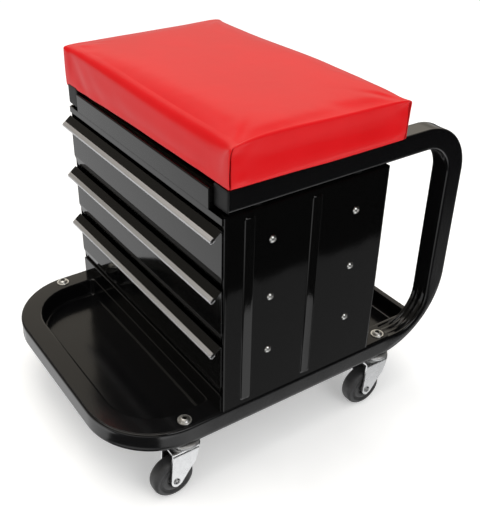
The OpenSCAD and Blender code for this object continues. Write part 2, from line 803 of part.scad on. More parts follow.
// Side view of a fork leg in y and z, with a round lower end about the axle
module leg_outline() {
    end_r = leg_back + axle_r;
    top = crown_z + crown_t;
    rise = top - axle_z;
    reach = caster_trail + leg_front;
    translate([-caster_trail, axle_z]) {
        polygon([[-leg_back, rise], [-leg_back - 0.5 * axle_r, 0.39 * rise], [-end_r, 0],
            [0.7 * end_r, -0.7 * end_r], [0.37 * reach, 0.03 * rise], [0.73 * reach, 0.37 * rise],
            [0.93 * reach, 0.64 * rise], [reach, rise]]);
        circle(r = end_r);
    }
}

module fork(right, rear) {
    color("#c2c4c6") at_caster(right, rear) difference() {
        union() {
            translate([0, 0, crown_z]) linear_extrude(crown_t) {
                circle(r = crown_r);
                translate([-leg_out, -caster_trail - leg_back])
                    square([2 * leg_out, caster_trail + leg_back]);
            }
            for (x = [-leg_out, leg_in]) along_x(x, x + leg_t) leg_outline();
        }
        translate([0, 0, crown_z - past])
            cylinder(r = bolt_r + run_gap, h = crown_t + 2 * past);
        ball_groove(face_gap);
        translate([-leg_out - past, -caster_trail, axle_z]) rotate([0, 90, 0])
            cylinder(r = axle_r + run_gap, h = 2 * (leg_out + past));
    }
}

module axle(right, rear) {
    head_t = 1.8;
    color("#b0b2b4") at_caster(right, rear) translate([0, -caster_trail, axle_z]) {
        translate([-leg_out - head_t, 0, 0]) rotate([0, 90, 0])
            cylinder(r = axle_r, h = 2 * (leg_out + head_t));
        for (x = [-leg_out - head_t, leg_out]) translate([x, 0, 0]) rotate([0, 90, 0])
            cylinder(r = axle_r + 1.6, h = head_t);
    }
}

// Ring about the axle, from an outline in radius and width
module spun(right, rear) {
    at_caster(right, rear) translate([0, -caster_trail, axle_z]) rotate([0, 90, 0])
        rotate_extrude() children();
}

module tyre(right, rear) {
    shoulder = 4;
    half = wheel_w / 2;
    color("#26272a") spun(right, rear) {
        translate([hub_r, -half]) square([wheel_r - shoulder - hub_r, wheel_w]);
        translate([hub_r, shoulder - half]) square([wheel_r - hub_r, wheel_w - 2 * shoulder]);
        for (s = [-1, 1]) translate([wheel_r - shoulder, s * (half - shoulder)]) circle(r = shoulder);
    }
}

module hub(right, rear) {
    bore = axle_r + run_gap;
    boss = leg_span - 2 * face_gap;
    color("#3a3c3f") spun(right, rear) {
        translate([bore, -wheel_w / 2 + 2]) square([hub_r - bore, wheel_w - 4]);
        translate([bore, -boss / 2]) square([3.5, boss]);
    }
}

base_tube();
handle_tube(false);  // handle_tube_left
handle_tube(true);  // handle_tube_right
tube_end_caps();
tray();
side_panel(false);  // side_panel_left
side_panel(true);  // side_panel_right
back_panel();
cabinet_floor();
cabinet_top();
kick_strip();
fascia();
slide_rails(false);  // slide_rails_left
slide_rails(true);  // slide_rails_right
slide_screws();
slide_nuts();
rail_spacers();
rail_screws();
rail_nuts();
seat_crossbars();
seat_screws();
seat_board();
seat_cushion();
drawer_front(2);  // top_drawer_front
drawer_box(2);  // top_drawer_box
drawer_trim(2);  // top_drawer_trim
drawer_runners(2);  // top_drawer_runners
drawer_front(1);  // middle_drawer_front
drawer_box(1);  // middle_drawer_box
drawer_trim(1);  // middle_drawer_trim
drawer_runners(1);  // middle_drawer_runners
drawer_front(0);  // bottom_drawer_front
drawer_box(0);  // bottom_drawer_box
drawer_trim(0);  // bottom_drawer_trim
drawer_runners(0);  // bottom_drawer_runners
caster_cups();
caster_balls();
caster_bolts();
caster_washers();
caster_nuts();
fork(false, false);  // front_left_fork
axle(false, false);  // front_left_axle
tyre(false, false);  // front_left_tyre
hub(false, false);  // front_left_hub
fork(true, false);  // front_right_fork
axle(true, false);  // front_right_axle
tyre(true, false);  // front_right_tyre
hub(true, false);  // front_right_hub
fork(false, true);  // rear_left_fork
axle(false, true);  // rear_left_axle
tyre(false, true);  // rear_left_tyre
hub(false, true);  // rear_left_hub
fork(true, true);  // rear_right_fork
axle(true, true);  // rear_right_axle
tyre(true, true);  // rear_right_tyre
hub(true, true);  // rear_right_hub
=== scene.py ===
import math

import bmesh
import bpy
import numpy as np
from mathutils import Matrix, Vector


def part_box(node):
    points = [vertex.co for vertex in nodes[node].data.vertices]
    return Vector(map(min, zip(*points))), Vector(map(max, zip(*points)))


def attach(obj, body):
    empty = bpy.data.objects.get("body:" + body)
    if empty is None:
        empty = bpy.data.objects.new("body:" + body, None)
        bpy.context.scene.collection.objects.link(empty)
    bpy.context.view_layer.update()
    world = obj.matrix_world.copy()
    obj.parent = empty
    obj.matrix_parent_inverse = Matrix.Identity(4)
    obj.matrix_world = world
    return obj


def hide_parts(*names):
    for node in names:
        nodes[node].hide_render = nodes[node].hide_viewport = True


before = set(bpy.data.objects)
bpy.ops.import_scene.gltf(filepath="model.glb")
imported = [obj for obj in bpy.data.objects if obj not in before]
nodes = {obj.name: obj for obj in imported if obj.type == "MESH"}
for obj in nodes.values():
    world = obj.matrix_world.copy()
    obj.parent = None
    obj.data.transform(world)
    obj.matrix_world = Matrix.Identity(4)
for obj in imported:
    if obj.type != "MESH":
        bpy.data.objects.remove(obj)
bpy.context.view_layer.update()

scene = bpy.context.scene

# All shapes are drawn in millimetres; this brings them to Blender's metres
mm = 0.001


# Small tools for nodes and meshes

def linear(hexCode):
    parts = [int(hexCode[i:i + 2], 16) / 255 for i in (1, 3, 5)]
    return tuple(c / 12.92 if c <= 0.04045 else ((c + 0.055) / 1.055) ** 2.4 for c in parts) + (1.0,)


# Settings are the node's options and fixed values; links name its inputs, or number them as _0, _1 and so on
def addNode(tree, kind, settings=None, **links):
    node = tree.nodes.new(kind)
    for key, value in (settings or {}).items():
        if key == "stops":
            for element, (at, colour) in zip(node.color_ramp.elements, value):
                element.position = at
                element.color = colour
        elif key in node.inputs:
            node.inputs[key].default_value = value
        else:
            setattr(node, key, value)
    for key, source in links.items():
        socket = node.inputs[int(key[1:]) if key[1:].isdigit() else key.replace("_", " ")]
        if isinstance(source, (int, float, tuple)):
            socket.default_value = source
        else:
            tree.links.new(source, socket)
    return node


def newMaterial(name, base, metallic, roughness, ior=None, **extra):
    material = bpy.data.materials.new(name)
    material.use_nodes = True
    tree = material.node_tree
    shader = tree.nodes["Principled BSDF"]
    shader.inputs["Base Color"].default_value = linear(base)
    shader.inputs["Metallic"].default_value = metallic
    shader.inputs["Roughness"].default_value = roughness
    if ior:
        shader.inputs["IOR"].default_value = ior
    for key, value in extra.items():
        shader.inputs[key.replace("_", " ")].default_value = value
    place = addNode(tree, "ShaderNodeTexCoord").outputs["Object"]
    return material, tree, shader, place


def makeObject(name, points, faces, unit=mm):
    mesh = bpy.data.meshes.new(name)
    mesh.from_pydata((np.asarray(points, float) * unit).tolist(), [], [list(map(int, f)) for f in faces])
    obj = bpy.data.objects.new(name, mesh)
    scene.collection.objects.link(obj)
    work = bmesh.new()
    work.from_mesh(mesh)
    bmesh.ops.recalc_face_normals(work, faces=work.faces)
    work.to_mesh(mesh)
    work.free()
    return obj


def applyAll(obj):
    bpy.context.view_layer.update()
    graph = bpy.context.evaluated_depsgraph_get()
    done = bpy.data.meshes.new_from_object(obj.evaluated_get(graph))
    obj.modifiers.clear()
    old, obj.data = obj.data, done
    bpy.data.meshes.remove(old)


def modify(obj, kind, **settings):
    modifier = obj.modifiers.new(kind.lower(), kind)
    for key, value in settings.items():
        setattr(modifier, key, value)
    return modifier


def shade(obj, angle=40.0):
    mesh = obj.data
    mesh.polygons.foreach_set("use_smooth", [True] * len(mesh.polygons))
    mesh.set_sharp_from_angle(angle=math.radians(angle))


def softenEdges(obj, width, steps=2, angle=50.0):
    modify(obj, "BEVEL", width=width * mm, segments=steps, limit_method="ANGLE",
           angle_limit=math.radians(angle), use_clamp_overlap=True)
    applyAll(obj)
    shade(obj, 60.0)
    modify(obj, "WEIGHTED_NORMAL", keep_sharp=True, weight=80)
    applyAll(obj)


def place(obj, body, material, slotName, *replaced):
    obj.data.materials.clear()
    obj.data.materials.append(material)
    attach(obj, body)
    if replaced:
        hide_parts(*replaced)


def gridFaces(rows, columns, first=0, closed=False):
    wrap = columns if closed else columns - 1
    return [(first + r * columns + c, first + r * columns + (c + 1) % columns,
             first + (r + 1) * columns + (c + 1) % columns, first + (r + 1) * columns + c)
            for r in range(rows - 1) for c in range(wrap)]


# Skin over a row of closed loops of equal count, with a face over each end
def skin(loops):
    count = len(loops[0])
    last = (len(loops) - 1) * count
    faces = gridFaces(len(loops), count, closed=True)
    faces += [tuple(range(count)), tuple(last + k for k in range(count))]
    return np.vstack(loops), faces


def joinParts(parts):
    points, faces = [], []
    for p, f in parts:
        start = len(points)
        points.extend(np.asarray(p, float).tolist())
        faces.extend([[start + i for i in face] for face in f])
    return points, faces


def smoothStep(value, low, high):
    t = np.clip((np.asarray(value, float) - low) / (high - low), 0, 1)
    return t * t * (3 - 2 * t)


def arcPoints(cx, cy, r, start, turn, steps):
    angles = [math.radians(start + turn * k / steps) for k in range(steps + 1)]
    return [(cx + r * math.cos(a), cy + r * math.sin(a)) for a in angles]


# Name of a scene piece from a node's or body's name, such as topDrawer from top_drawer
def camelName(name):
    first, *rest = name.split("_")
    return first + "".join(word.capitalize() for word in rest)


# Rounds the inner corners of an open outline, one radius for each corner
def filletPath(corners, radii, step=12.0):
    path = [np.array(corners[0], float)]
    for before, here, after, radius in zip(corners, corners[1:], corners[2:], radii):
        here = np.array(here, float)
        d0, d1 = np.array(before, float) - here, np.array(after, float) - here
        l0, l1 = np.linalg.norm(d0), np.linalg.norm(d1)
        d0, d1 = d0 / l0, d1 / l1
        turn = math.pi - math.acos(np.clip(d0 @ d1, -1, 1))
        if radius <= 0 or turn < 0.02:
            path.append(here)
            continue
        reach = min(radius * math.tan(turn / 2), 0.49 * l0, 0.49 * l1)
        count = max(2, int(math.degrees(turn) / step) + 1)
        start, end = here + d0 * reach, here + d1 * reach
        middle = (d0 + d1) / np.linalg.norm(d0 + d1)
        radius = reach / math.tan(turn / 2)
        centre = here + middle * radius / math.cos(turn / 2)
        a, b = start - centre, end - centre
        for k in range(count + 1):
            t = k / count
            path.append(centre + (math.sin((1 - t) * turn) * a + math.sin(t * turn) * b) / math.sin(turn))
    path.append(np.array(corners[-1], float))
    return np.array(path)


def offsetPath(path, distance):
    d = np.diff(path, axis=0)
    d /= np.linalg.norm(d, axis=1)[:, None]
    n = np.stack([-d[:, 1], d[:, 0]], 1)
    n0, n1 = np.vstack([n[:1], n]), np.vstack([n, n[-1:]])
    middle = n0 + n1
    middle /= (1 + (n0 * n1).sum(1))[:, None]
    return path + middle * distance


# Faces of a strip of sheet: two equal loops, each of n points in front and n behind
def stripFaces(n):
    count = 2 * n
    faces = gridFaces(2, count, closed=True)
    for start in (0, count):
        last = start + count - 1
        faces += [(start + i, start + i + 1, last - 1 - i, last - i) for i in range(n - 1)]
    return faces


# Sheet along x from an outline in y and z; endX gives how far the sheet reaches at each height
def sheetAlongX(path, thickness, halfX, endX=None):
    loop = np.vstack([path, offsetPath(path, thickness)[::-1]])
    reach = [halfX if endX is None else min(halfX, endX(z)) for y, z in loop]
    points = [(side * r, y, z) for side in (-1, 1) for r, (y, z) in zip(reach, loop)]
    return points, stripFaces(len(path))


# Surface of revolution about the local z axis, from (radius, height) pairs
def lathe(profile, segments=48, closedProfile=False):
    turns = np.linspace(0, 2 * math.pi, segments, endpoint=False)
    points = [(r * math.cos(a), r * math.sin(a), h) for r, h in profile for a in turns]
    faces = gridFaces(len(profile), segments, closed=True)
    last = (len(profile) - 1) * segments
    if closedProfile:
        faces += [(last + k, last + (k + 1) % segments, (k + 1) % segments, k) for k in range(segments)]
    else:
        faces += [tuple(range(segments)), tuple(last + k for k in range(segments))]
    return points, faces


# One or more turned pieces in one object, each set at its own place
def makeTurned(name, profile, segments, closedProfile, places, angle):
    points, faces = lathe(profile, segments, closedProfile)
    obj = makeObject(name, *joinParts([(movePoints(points, place), faces) for place in places]))
    shade(obj, angle)
    return obj


# Gives a drawn face the thickness of its sheet, on the side away from where it looks
def thicken(obj, facing, sheet):
    if facing < 0:
        obj.data.flip_normals()
    modify(obj, "SOLIDIFY", thickness=sheet * mm, offset=-1.0, use_even_offset=True, use_rim=True)
    applyAll(obj)


def movePoints(points, matrix):
    points = np.asarray(points, float)
    return points @ np.array(matrix.to_3x3()).T + np.array(matrix.translation)


# Loop of points round a rounded rectangle, from its corner coordinates and two corner radii
def bayLoop(halfX, y0, y1, r0, r1, z, steps=8):
    corners = ((halfX - r0, y0 + r0, r0, -90), (halfX - r1, y1 - r1, r1, 0),
               (-halfX + r1, y1 - r1, r1, 90), (-halfX + r0, y0 + r0, r0, 180))
    return [(x, y, z) for cx, cy, r, start in corners for x, y in arcPoints(cx, cy, r, start, 90, steps)]


# Materials

# Stove enamel on pressed steel: a black, wet looking coat that mirrors the studio, with a faint orange peel
def enamel(name, base, roughness, peel, wave):
    material, tree, shader, at = newMaterial(name, base, 0.0, roughness, 1.5)
    dust = addNode(tree, "ShaderNodeTexNoise", {"Scale": 1 / 0.035, "Detail": 5.0, "Roughness": 0.6},
                   Vector=at)
    gloss = addNode(tree, "ShaderNodeMapRange", {"To Min": roughness * 0.8, "To Max": roughness * 1.35},
                    Value=dust.outputs["Fac"])
    tree.links.new(gloss.outputs["Result"], shader.inputs["Roughness"])
    fine = addNode(tree, "ShaderNodeTexNoise", {"Scale": 1 / 0.0022, "Detail": 1.0}, Vector=at)
    slow = addNode(tree, "ShaderNodeTexNoise", {"Scale": 1 / 0.055, "Detail": 1.0}, Vector=at)
    orangePeel = addNode(tree, "ShaderNodeBump", {"Strength": peel, "Distance": 0.00008},
                         Height=fine.outputs["Fac"])
    sheetWave = addNode(tree, "ShaderNodeBump", {"Strength": wave, "Distance": 0.0012},
                        Height=slow.outputs["Fac"], Normal=orangePeel.outputs["Normal"])
    tree.links.new(sheetWave.outputs["Normal"], shader.inputs["Normal"])
    return material


frameEnamel = enamel("frameEnamel", "#0b0b0c", 0.14, 0.25, 0.1)
cabinetEnamel = enamel("cabinetEnamel", "#070707", 0.035, 0.08, 0.1)
drawerEnamel = enamel("drawerEnamel", "#090909", 0.07, 0.15, 0.08)


# Anodised aluminium: a drawn extrusion with a satin face, fine lines along its length
def makeAnodisedAluminium():
    material, tree, shader, at = newMaterial("anodisedAluminium", "#e0e0e2", 1.0, 0.52)
    stretched = addNode(tree, "ShaderNodeMapping", {"Scale": (8.0, 1400.0, 1400.0)}, Vector=at)
    lines = addNode(tree, "ShaderNodeTexNoise", {"Scale": 1.0, "Detail": 3.0},
                    Vector=stretched.outputs["Vector"])
    gloss = addNode(tree, "ShaderNodeMapRange", {"To Min": 0.46, "To Max": 0.6}, Value=lines.outputs["Fac"])
    tree.links.new(gloss.outputs["Result"], shader.inputs["Roughness"])
    bump = addNode(tree, "ShaderNodeBump", {"Strength": 0.2, "Distance": 0.00005},
                   Height=lines.outputs["Fac"])
    tree.links.new(bump.outputs["Normal"], shader.inputs["Normal"])
    return material


# Zinc or nickel plated steel: pale grey metal with a soft mottled gloss; cloud is the size of its mottles
def platedSteel(name, base, roughness, cloud):
    material, tree, shader, at = newMaterial(name, base, 1.0, roughness)
    mottle = addNode(tree, "ShaderNodeTexNoise", {"Scale": 1 / cloud, "Detail": 4.0, "Roughness": 0.65},
                     Vector=at)
    gloss = addNode(tree, "ShaderNodeMapRange", {"To Min": roughness * 0.7, "To Max": roughness * 1.4},
                    Value=mottle.outputs["Fac"])
    tree.links.new(gloss.outputs["Result"], shader.inputs["Roughness"])
    deep = tuple(c * 0.82 for c in linear(base)[:3]) + (1.0,)
    tone = addNode(tree, "ShaderNodeValToRGB", {"stops": [(0.35, deep), (0.65, linear(base))]},
                   Fac=mottle.outputs["Fac"])
    # Painted shade: the recess of a screw head is darkened towards dark brown where its recess attribute is 1
    depth = addNode(tree, "ShaderNodeAttribute", {"attribute_name": "recess"})
    recessShade = addNode(tree, "ShaderNodeMix", {"data_type": "RGBA"}, _0=depth.outputs["Fac"],
                    _6=tone.outputs["Color"], _7=linear("#33312e"))
    tree.links.new(recessShade.outputs[2], shader.inputs["Base Color"])
    return material


anodisedAluminium = makeAnodisedAluminium()
nickelPlate = platedSteel("nickelPlate", "#e4e4e2", 0.24, 0.004)
zincFixings = platedSteel("zincFixings", "#b9babb", 0.34, 0.003)
zincSlides = platedSteel("zincSlides", "#a4a6a7", 0.36, 0.012)
brightZinc = platedSteel("brightZinc", "#f4f5f6", 0.28, 0.009)
satinZinc = platedSteel("satinZinc", "#f0f1f2", 0.56, 0.009)
satinNickel = platedSteel("satinNickel", "#ececea", 0.36, 0.004)


# Moulded polymers: hard rubber and nylon with a fine spark-eroded texture, matt with a broad highlight
def moulded(name, base, roughness, ior, grain):
    material, tree, shader, at = newMaterial(name, base, 0.0, roughness, ior)
    texture = addNode(tree, "ShaderNodeTexNoise", {"Scale": 1 / grain, "Detail": 2.0}, Vector=at)
    bump = addNode(tree, "ShaderNodeBump", {"Strength": 0.3, "Distance": 0.00008},
                   Height=texture.outputs["Fac"])
    tree.links.new(bump.outputs["Normal"], shader.inputs["Normal"])
    scuff = addNode(tree, "ShaderNodeTexNoise", {"Scale": 1 / 0.012, "Detail": 6.0, "Roughness": 0.7},
                    Vector=at)
    pale = tuple(min(1, c * 1.5 + 0.004) for c in linear(base)[:3]) + (1.0,)
    tone = addNode(tree, "ShaderNodeValToRGB", {"stops": [(0.42, linear(base)), (0.75, pale)]},
                   Fac=scuff.outputs["Fac"])
    tree.links.new(tone.outputs["Color"], shader.inputs["Base Color"])
    return material


plugPlastic = moulded("plugPlastic", "#0b0b0c", 0.5, 1.38, 0.0009)
hardRubber = moulded("hardRubber", "#303031", 0.5, 1.5, 0.0011)
hubNylon = moulded("hubNylon", "#2a2a2b", 0.45, 1.53, 0.0009)


# Seat plywood: rotary cut birch face with long soft grain, sanded only roughly
def makePlywood():
    material, tree, shader, at = newMaterial("seatPlywood", "#63502f", 0.0, 0.62, 1.5)
    stretched = addNode(tree, "ShaderNodeMapping", {"Scale": (12.0, 160.0, 160.0)}, Vector=at)
    grain = addNode(tree, "ShaderNodeTexNoise", {"Scale": 1.0, "Detail": 6.0, "Distortion": 1.2},
                    Vector=stretched.outputs["Vector"])
    tone = addNode(tree, "ShaderNodeValToRGB",
                   {"stops": [(0.3, linear("#4a3823")), (0.7, linear("#6f5838"))]},
                   Fac=grain.outputs["Fac"])
    tree.links.new(tone.outputs["Color"], shader.inputs["Base Color"])
    bump = addNode(tree, "ShaderNodeBump", {"Strength": 0.3, "Distance": 0.0002},
                   Height=grain.outputs["Fac"])
    tree.links.new(bump.outputs["Normal"], shader.inputs["Normal"])
    return material


seatPlywood = makePlywood()


# Coated vinyl: knitted backing under a red PVC skin, satin, with a fine pressed leather grain
def makeVinyl():
    grainSize = 0.0016    # real grain cells are about 0.8 mm; drawn twice as coarse so that they show
    material, tree, shader, at = newMaterial("redVinyl", "#d60d14", 0.0, 0.3, 1.5, Specular_IOR_Level=0.23)
    cells = addNode(tree, "ShaderNodeTexVoronoi", {"Scale": 1 / grainSize, "feature": "SMOOTH_F1"},
                    Vector=at)
    grain = addNode(tree, "ShaderNodeBump", {"Strength": 0.3, "Distance": 0.00008},
                    Height=cells.outputs["Distance"])
    foam = addNode(tree, "ShaderNodeTexNoise", {"Scale": 1 / 0.045, "Detail": 2.0}, Vector=at)
    soft = addNode(tree, "ShaderNodeBump", {"Strength": 0.12, "Distance": 0.003},
                   Height=foam.outputs["Fac"], Normal=grain.outputs["Normal"])
    tree.links.new(soft.outputs["Normal"], shader.inputs["Normal"])
    gloss = addNode(tree, "ShaderNodeMapRange", {"To Min": 0.285, "To Max": 0.325},
                    Value=foam.outputs["Fac"])
    tree.links.new(gloss.outputs["Result"], shader.inputs["Roughness"])
    tone = addNode(tree, "ShaderNodeValToRGB",
                   {"stops": [(0.3, linear("#d30c12")), (0.7, linear("#d80e15"))]},
                   Fac=foam.outputs["Fac"])
    # Painted shade: the vinyl darkens towards deep red inside the folds, by the fold shade attribute
    depth = addNode(tree, "ShaderNodeAttribute", {"attribute_name": "foldShade"})
    folded = addNode(tree, "ShaderNodeMix", {"data_type": "RGBA"}, _0=depth.outputs["Fac"],
                     _6=tone.outputs["Color"], _7=linear("#74090e"))
    tree.links.new(folded.outputs[2], shader.inputs["Base Color"])
    return material


redVinyl = makeVinyl()
print("materials made")


# Frame: one bent square tube from rail to rail

tubeSettings = {
    "size": 25.0, "edgeRadius": 2.5, "wall": 1.5, "seenInside": 18.0,
    "sideX": 162.5,            # middle of the side tubes
    "railFront": -98.5, "railMiddle": 362.5,
    "topBend": (166.5, 311.0, 39.0, 64.0),     # centre y, z, inner and outer radius
    "footOuter": (132.5, 171.0, 98.0),         # the outer wall takes a wider bend than the inner one,
    "footInner": (161.5, 142.0, 44.0),         # so the tube is squeezed flatter there
    "footEnds": (120.0, 183.5),
    "frontBend": (88.0, -143.5, 74.5),         # centre x, y, middle radius
    "baseMiddle": 85.5, "uprightMiddle": 218.0, "crossMiddle": -218.0,
    "footDish": 2.2, "footCrease": 1.5, "creasePitch": 7.6, "topDish": 2.0, "frontDish": 0.8,
}
wallSteps, cornerSteps = 10, 4


def tubeRing(centre, a, b, depth, innerDip=None, outerDip=0.0, sideDip=0.0):
    half, r = tubeSettings["size"] / 2, tubeSettings["edgeRadius"]
    deep = depth / 2
    ring = []
    walls = (((half, -(deep - r)), (half, deep - r)), ((half - r, deep), (-(half - r), deep)),
             ((-half, deep - r), (-half, -(deep - r))), ((-(half - r), -deep), (half - r, -deep)))
    centres = ((half - r, deep - r, 0), (-(half - r), deep - r, 90),
               (-(half - r), -(deep - r), 180), (half - r, -(deep - r), 270))
    for w, ((p0, q0), (p1, q1)) in enumerate(walls):
        for k in range(wallSteps + 1):
            t = k / wallSteps
            p, q = p0 + (p1 - p0) * t, q0 + (q1 - q0) * t
            bulge = (1 - (2 * t - 1) ** 4)
            if w == 0:
                p -= sideDip * bulge
            if w == 1:
                q -= outerDip * bulge
            if w == 3 and innerDip is not None:
                q += innerDip(p) * bulge
            ring.append((p, q))
        cp, cq, start = centres[w]
        for k in range(1, cornerSteps):
            angle = math.radians(start + 90 * k / cornerSteps)
            ring.append((cp + r * math.cos(angle), cq + r * math.sin(angle)))
    ring = np.array(ring)
    return np.array(centre) + ring[:, :1] * np.array(a) + ring[:, 1:] * np.array(b)


# Straight, quarter arc and straight again: point at a share of the whole length, in y and z
def arcPoint(start, corner, radius, end, share):
    sy, sz = start
    cy, cz = corner
    first, arc, last = abs(cy - sy), math.pi / 2 * radius, abs(end[1] - cz)
    run = share * (first + arc + last)
    if run < first:
        return np.array([sy + run, sz])
    if run < first + arc:
        angle = (run - first) / radius
        return np.array([cy + radius * math.sin(angle), cz - radius * math.cos(angle)])
    return np.array([cy + radius, cz + run - first - arc])


def halfTube(side):
    t = tubeSettings
    size, x = t["size"], side * t["sideX"]
    a = (side, 0, 0)
    rings = []
    cy, cz, inner, outer = t["topBend"]
    for y in np.linspace(t["railFront"], cy - 0.01, 8):
        rings.append(tubeRing((x, y, t["railMiddle"]), a, (0, 0, 1), size))
    for k in range(1, 24):
        share = k / 24
        angle = math.radians(90 * (1 - share))
        b = (0, math.cos(angle), math.sin(angle))
        middle = (inner + outer) / 2
        dip = t["topDish"] * math.sin(math.pi * share) ** 2
        rings.append(tubeRing((x, cy + middle * b[1], cz + middle * b[2]), a, b, size,
                              lambda p: dip * math.cos(math.pi * p / 21) ** 2, 0.25 * dip))
    foot = t["footEnds"]
    for z in np.linspace(cz, foot[1] + 2, 6):
        rings.append(tubeRing((x, t["uprightMiddle"], z), a, (0, 1, 0), size))
    outerFoot, innerFoot = t["footOuter"], t["footInner"]
    base = t["baseMiddle"]
    for k in range(40, -1, -1):
        share = k / 40
        o = arcPoint((foot[0], base - size / 2), outerFoot[:2], outerFoot[2], foot, share)
        i = arcPoint((foot[0], base + size / 2), innerFoot[:2], innerFoot[2], foot, share)
        depth = np.linalg.norm(o - i)
        b = (o - i) / depth
        middle = (o + i) / 2
        bend = float(smoothStep(math.sin(math.pi * share), 0.35, 0.95))

        def crease(p):
            fold = math.cos(2 * math.pi * (p + side * 1.2) / t["creasePitch"])
            return bend * (t["footDish"] + t["footCrease"] * fold)
        rings.append(tubeRing((x, middle[0], middle[1]), a, (0, b[0], b[1]), depth, crease,
                              0.8 * bend, -0.5 * bend))
    fx, fy, radius = t["frontBend"]
    for y in np.linspace(foot[0] - 3, fy, 7):
        rings.append(tubeRing((x, y, base), a, (0, 0, -1), size))
    for k in range(1, 31):
        share = k / 30
        angle = math.radians(90 * share)
        out = (side * math.cos(angle), -math.sin(angle), 0)
        dish = t["frontDish"] * math.sin(math.pi * share) ** 1.5
        rings.append(tubeRing((side * fx + radius * out[0], fy + radius * out[1], base), out, (0, 0, -1),
                              size, None, 0, dish))
    for px in (60.0, 30.0, 0.0):
        rings.append(tubeRing((side * px, t["crossMiddle"], base), (0, -1, 0), (0, 0, -1), size))
    return rings


def makeFrameTube():
    t = tubeSettings
    # Each open end shows the tube's wall and a little of its inside
    ends = []
    for side in (1, -1):
        centre = np.array([side * t["sideX"], t["railFront"], t["railMiddle"]])
        face = tubeRing(centre, (side, 0, 0), (0, 0, 1), t["size"])
        rim = centre + (face - centre) * (1 - 2 * t["wall"] / t["size"])
        ends.append([rim + np.array([0, t["seenInside"], 0]), rim])
    # The left half runs the other way round
    rings = ends[0] + halfTube(1) + halfTube(-1)[::-1][1:] + ends[1][::-1]
    obj = makeObject("frameTube", *skin(rings))
    shade(obj, 60.0)
    place(obj, "cart", frameEnamel, "frame_paint", "base_tube", "handle_tube_left", "handle_tube_right")


makeFrameTube()

# The left plug isn't pushed home
plugSettings = {"flange": 2.0, "dome": 0.5, "edgeRound": 0.9, "leftOut": 4.4}


def makeRailPlugs():
    t, p = tubeSettings, plugSettings
    parts = []
    for side in (1, -1):
        centre = np.array([side * t["sideX"], t["railFront"], t["railMiddle"]])
        full = tubeRing(centre, (side, 0, 0), (0, 0, 1), t["size"]) - centre
        rings = []
        # (inset from the tube's face, distance ahead of the tube's end)
        for inset, ahead in ((0, 0), (0, p["flange"] - p["edgeRound"]), (0.26, p["flange"] - 0.26),
                             (p["edgeRound"], p["flange"] - 0.05), (4, p["flange"] + 0.25 * p["dome"]),
                             (8, p["flange"] + 0.8 * p["dome"] - 0.3), (11.5, p["flange"] + p["dome"] - 0.4)):
            scale = 1 - 2 * inset / t["size"]
            out = p["leftOut"] if side < 0 and ahead else 0.0
            rings.append(centre + full * scale + np.array([0, -ahead - out, 0]))
        parts.append(skin(rings))
    obj = makeObject("railPlugs", *joinParts(parts))
    shade(obj, 50.0)
    place(obj, "cart", plugPlastic, "cap_plastic", "tube_end_caps")


makeRailPlugs()
print("frame tube made")


# Tray: one pressed sheet with a pocket at each end

traySettings = {
    "top": 99.0, "floor": 74.2, "sheet": 1.0, "foldTop": 2.5, "foldBottom": 4.5,
    "rimX": 173.0, "rimFront": -228.5, "rimCorner": 85.0, "rimBack": 150.5, "rimStart": -100.0,
    "tongueX": 149.5, "tongueBack": 212.0, "tongueCorner": 6.0, "notch": 2.0,
    # Pockets: half width, front, back, front and back corner radius
    "frontPocket": (148.0, -203.5, -107.0, 60.0, 6.0),
    "rearPocket": (144.5, 115.0, 204.5, 6.0, 8.0),
}


def pocketLoops(pocket):
    halfX, y0, y1, r0, r1 = pocket
    s = traySettings
    steps = []
    for k in range(5):
        a = math.radians(90 * k / 4)
        steps.append((s["foldTop"] * (1 - math.sin(a)), s["top"] - s["foldTop"] * (1 - math.cos(a))))
    for k in range(6):
        a = math.radians(90 * k / 5)
        steps.append((-s["foldBottom"] * (1 - math.cos(a)), s["floor"] + s["foldBottom"] * (1 - math.sin(a))))
    return [bayLoop(halfX + d, y0 - d, y1 + d, r0 + d, r1 + d, z) for d, z in steps]


def trayOutline():
    s = traySettings
    r, x, n, corner = s["rimCorner"], s["rimX"], s["notch"], s["tongueCorner"]
    outline = arcPoints(x - r, s["rimFront"] + r, r, -90, 90, 24)
    outline += [(x, y) for y in np.linspace(s["rimStart"], s["rimBack"] - n, 8)]
    outline += [(x - n, s["rimBack"]), (s["tongueX"] + n, s["rimBack"]), (s["tongueX"], s["rimBack"] + n)]
    outline += arcPoints(s["tongueX"] - corner, s["tongueBack"] - corner, corner, 0, 90, 6)
    return outline + [(-px, py) for px, py in outline[::-1]]


def makeTray():
    s = traySettings
    work = bmesh.new()

    def ringOf(points):
        return [work.verts.new(Vector(p) * mm) for p in points]

    def edgesOf(ring):
        return [work.edges.new((ring[k], ring[(k + 1) % len(ring)])) for k in range(len(ring))]

    border = edgesOf(ringOf([(px, py, s["top"]) for px, py in trayOutline()]))
    for pocket in (s["frontPocket"], s["rearPocket"]):
        rings = [ringOf(loop) for loop in pocketLoops(pocket)]
        border += edgesOf(rings[0])
        for upper, lower in zip(rings, rings[1:]):
            for k in range(len(upper)):
                n = (k + 1) % len(upper)
                work.faces.new((upper[k], upper[n], lower[n], lower[k]))
        work.faces.new(rings[-1])
    bmesh.ops.triangle_fill(work, use_beauty=True, edges=border)
    bmesh.ops.recalc_face_normals(work, faces=work.faces)
    mesh = bpy.data.meshes.new("pressedTray")
    work.to_mesh(mesh)
    work.free()
    obj = bpy.data.objects.new("pressedTray", mesh)
    scene.collection.objects.link(obj)
    thicken(obj, max(mesh.polygons, key=lambda face: face.center.z).normal.z, s["sheet"])
    softenEdges(obj, 0.4, 3, 60.0)
    place(obj, "cart", frameEnamel, "frame_paint", "tray")


makeTray()
print("tray made")


# Cabinet sides: sheet with a hem in front, a return behind, a top flange and two pressed ribs

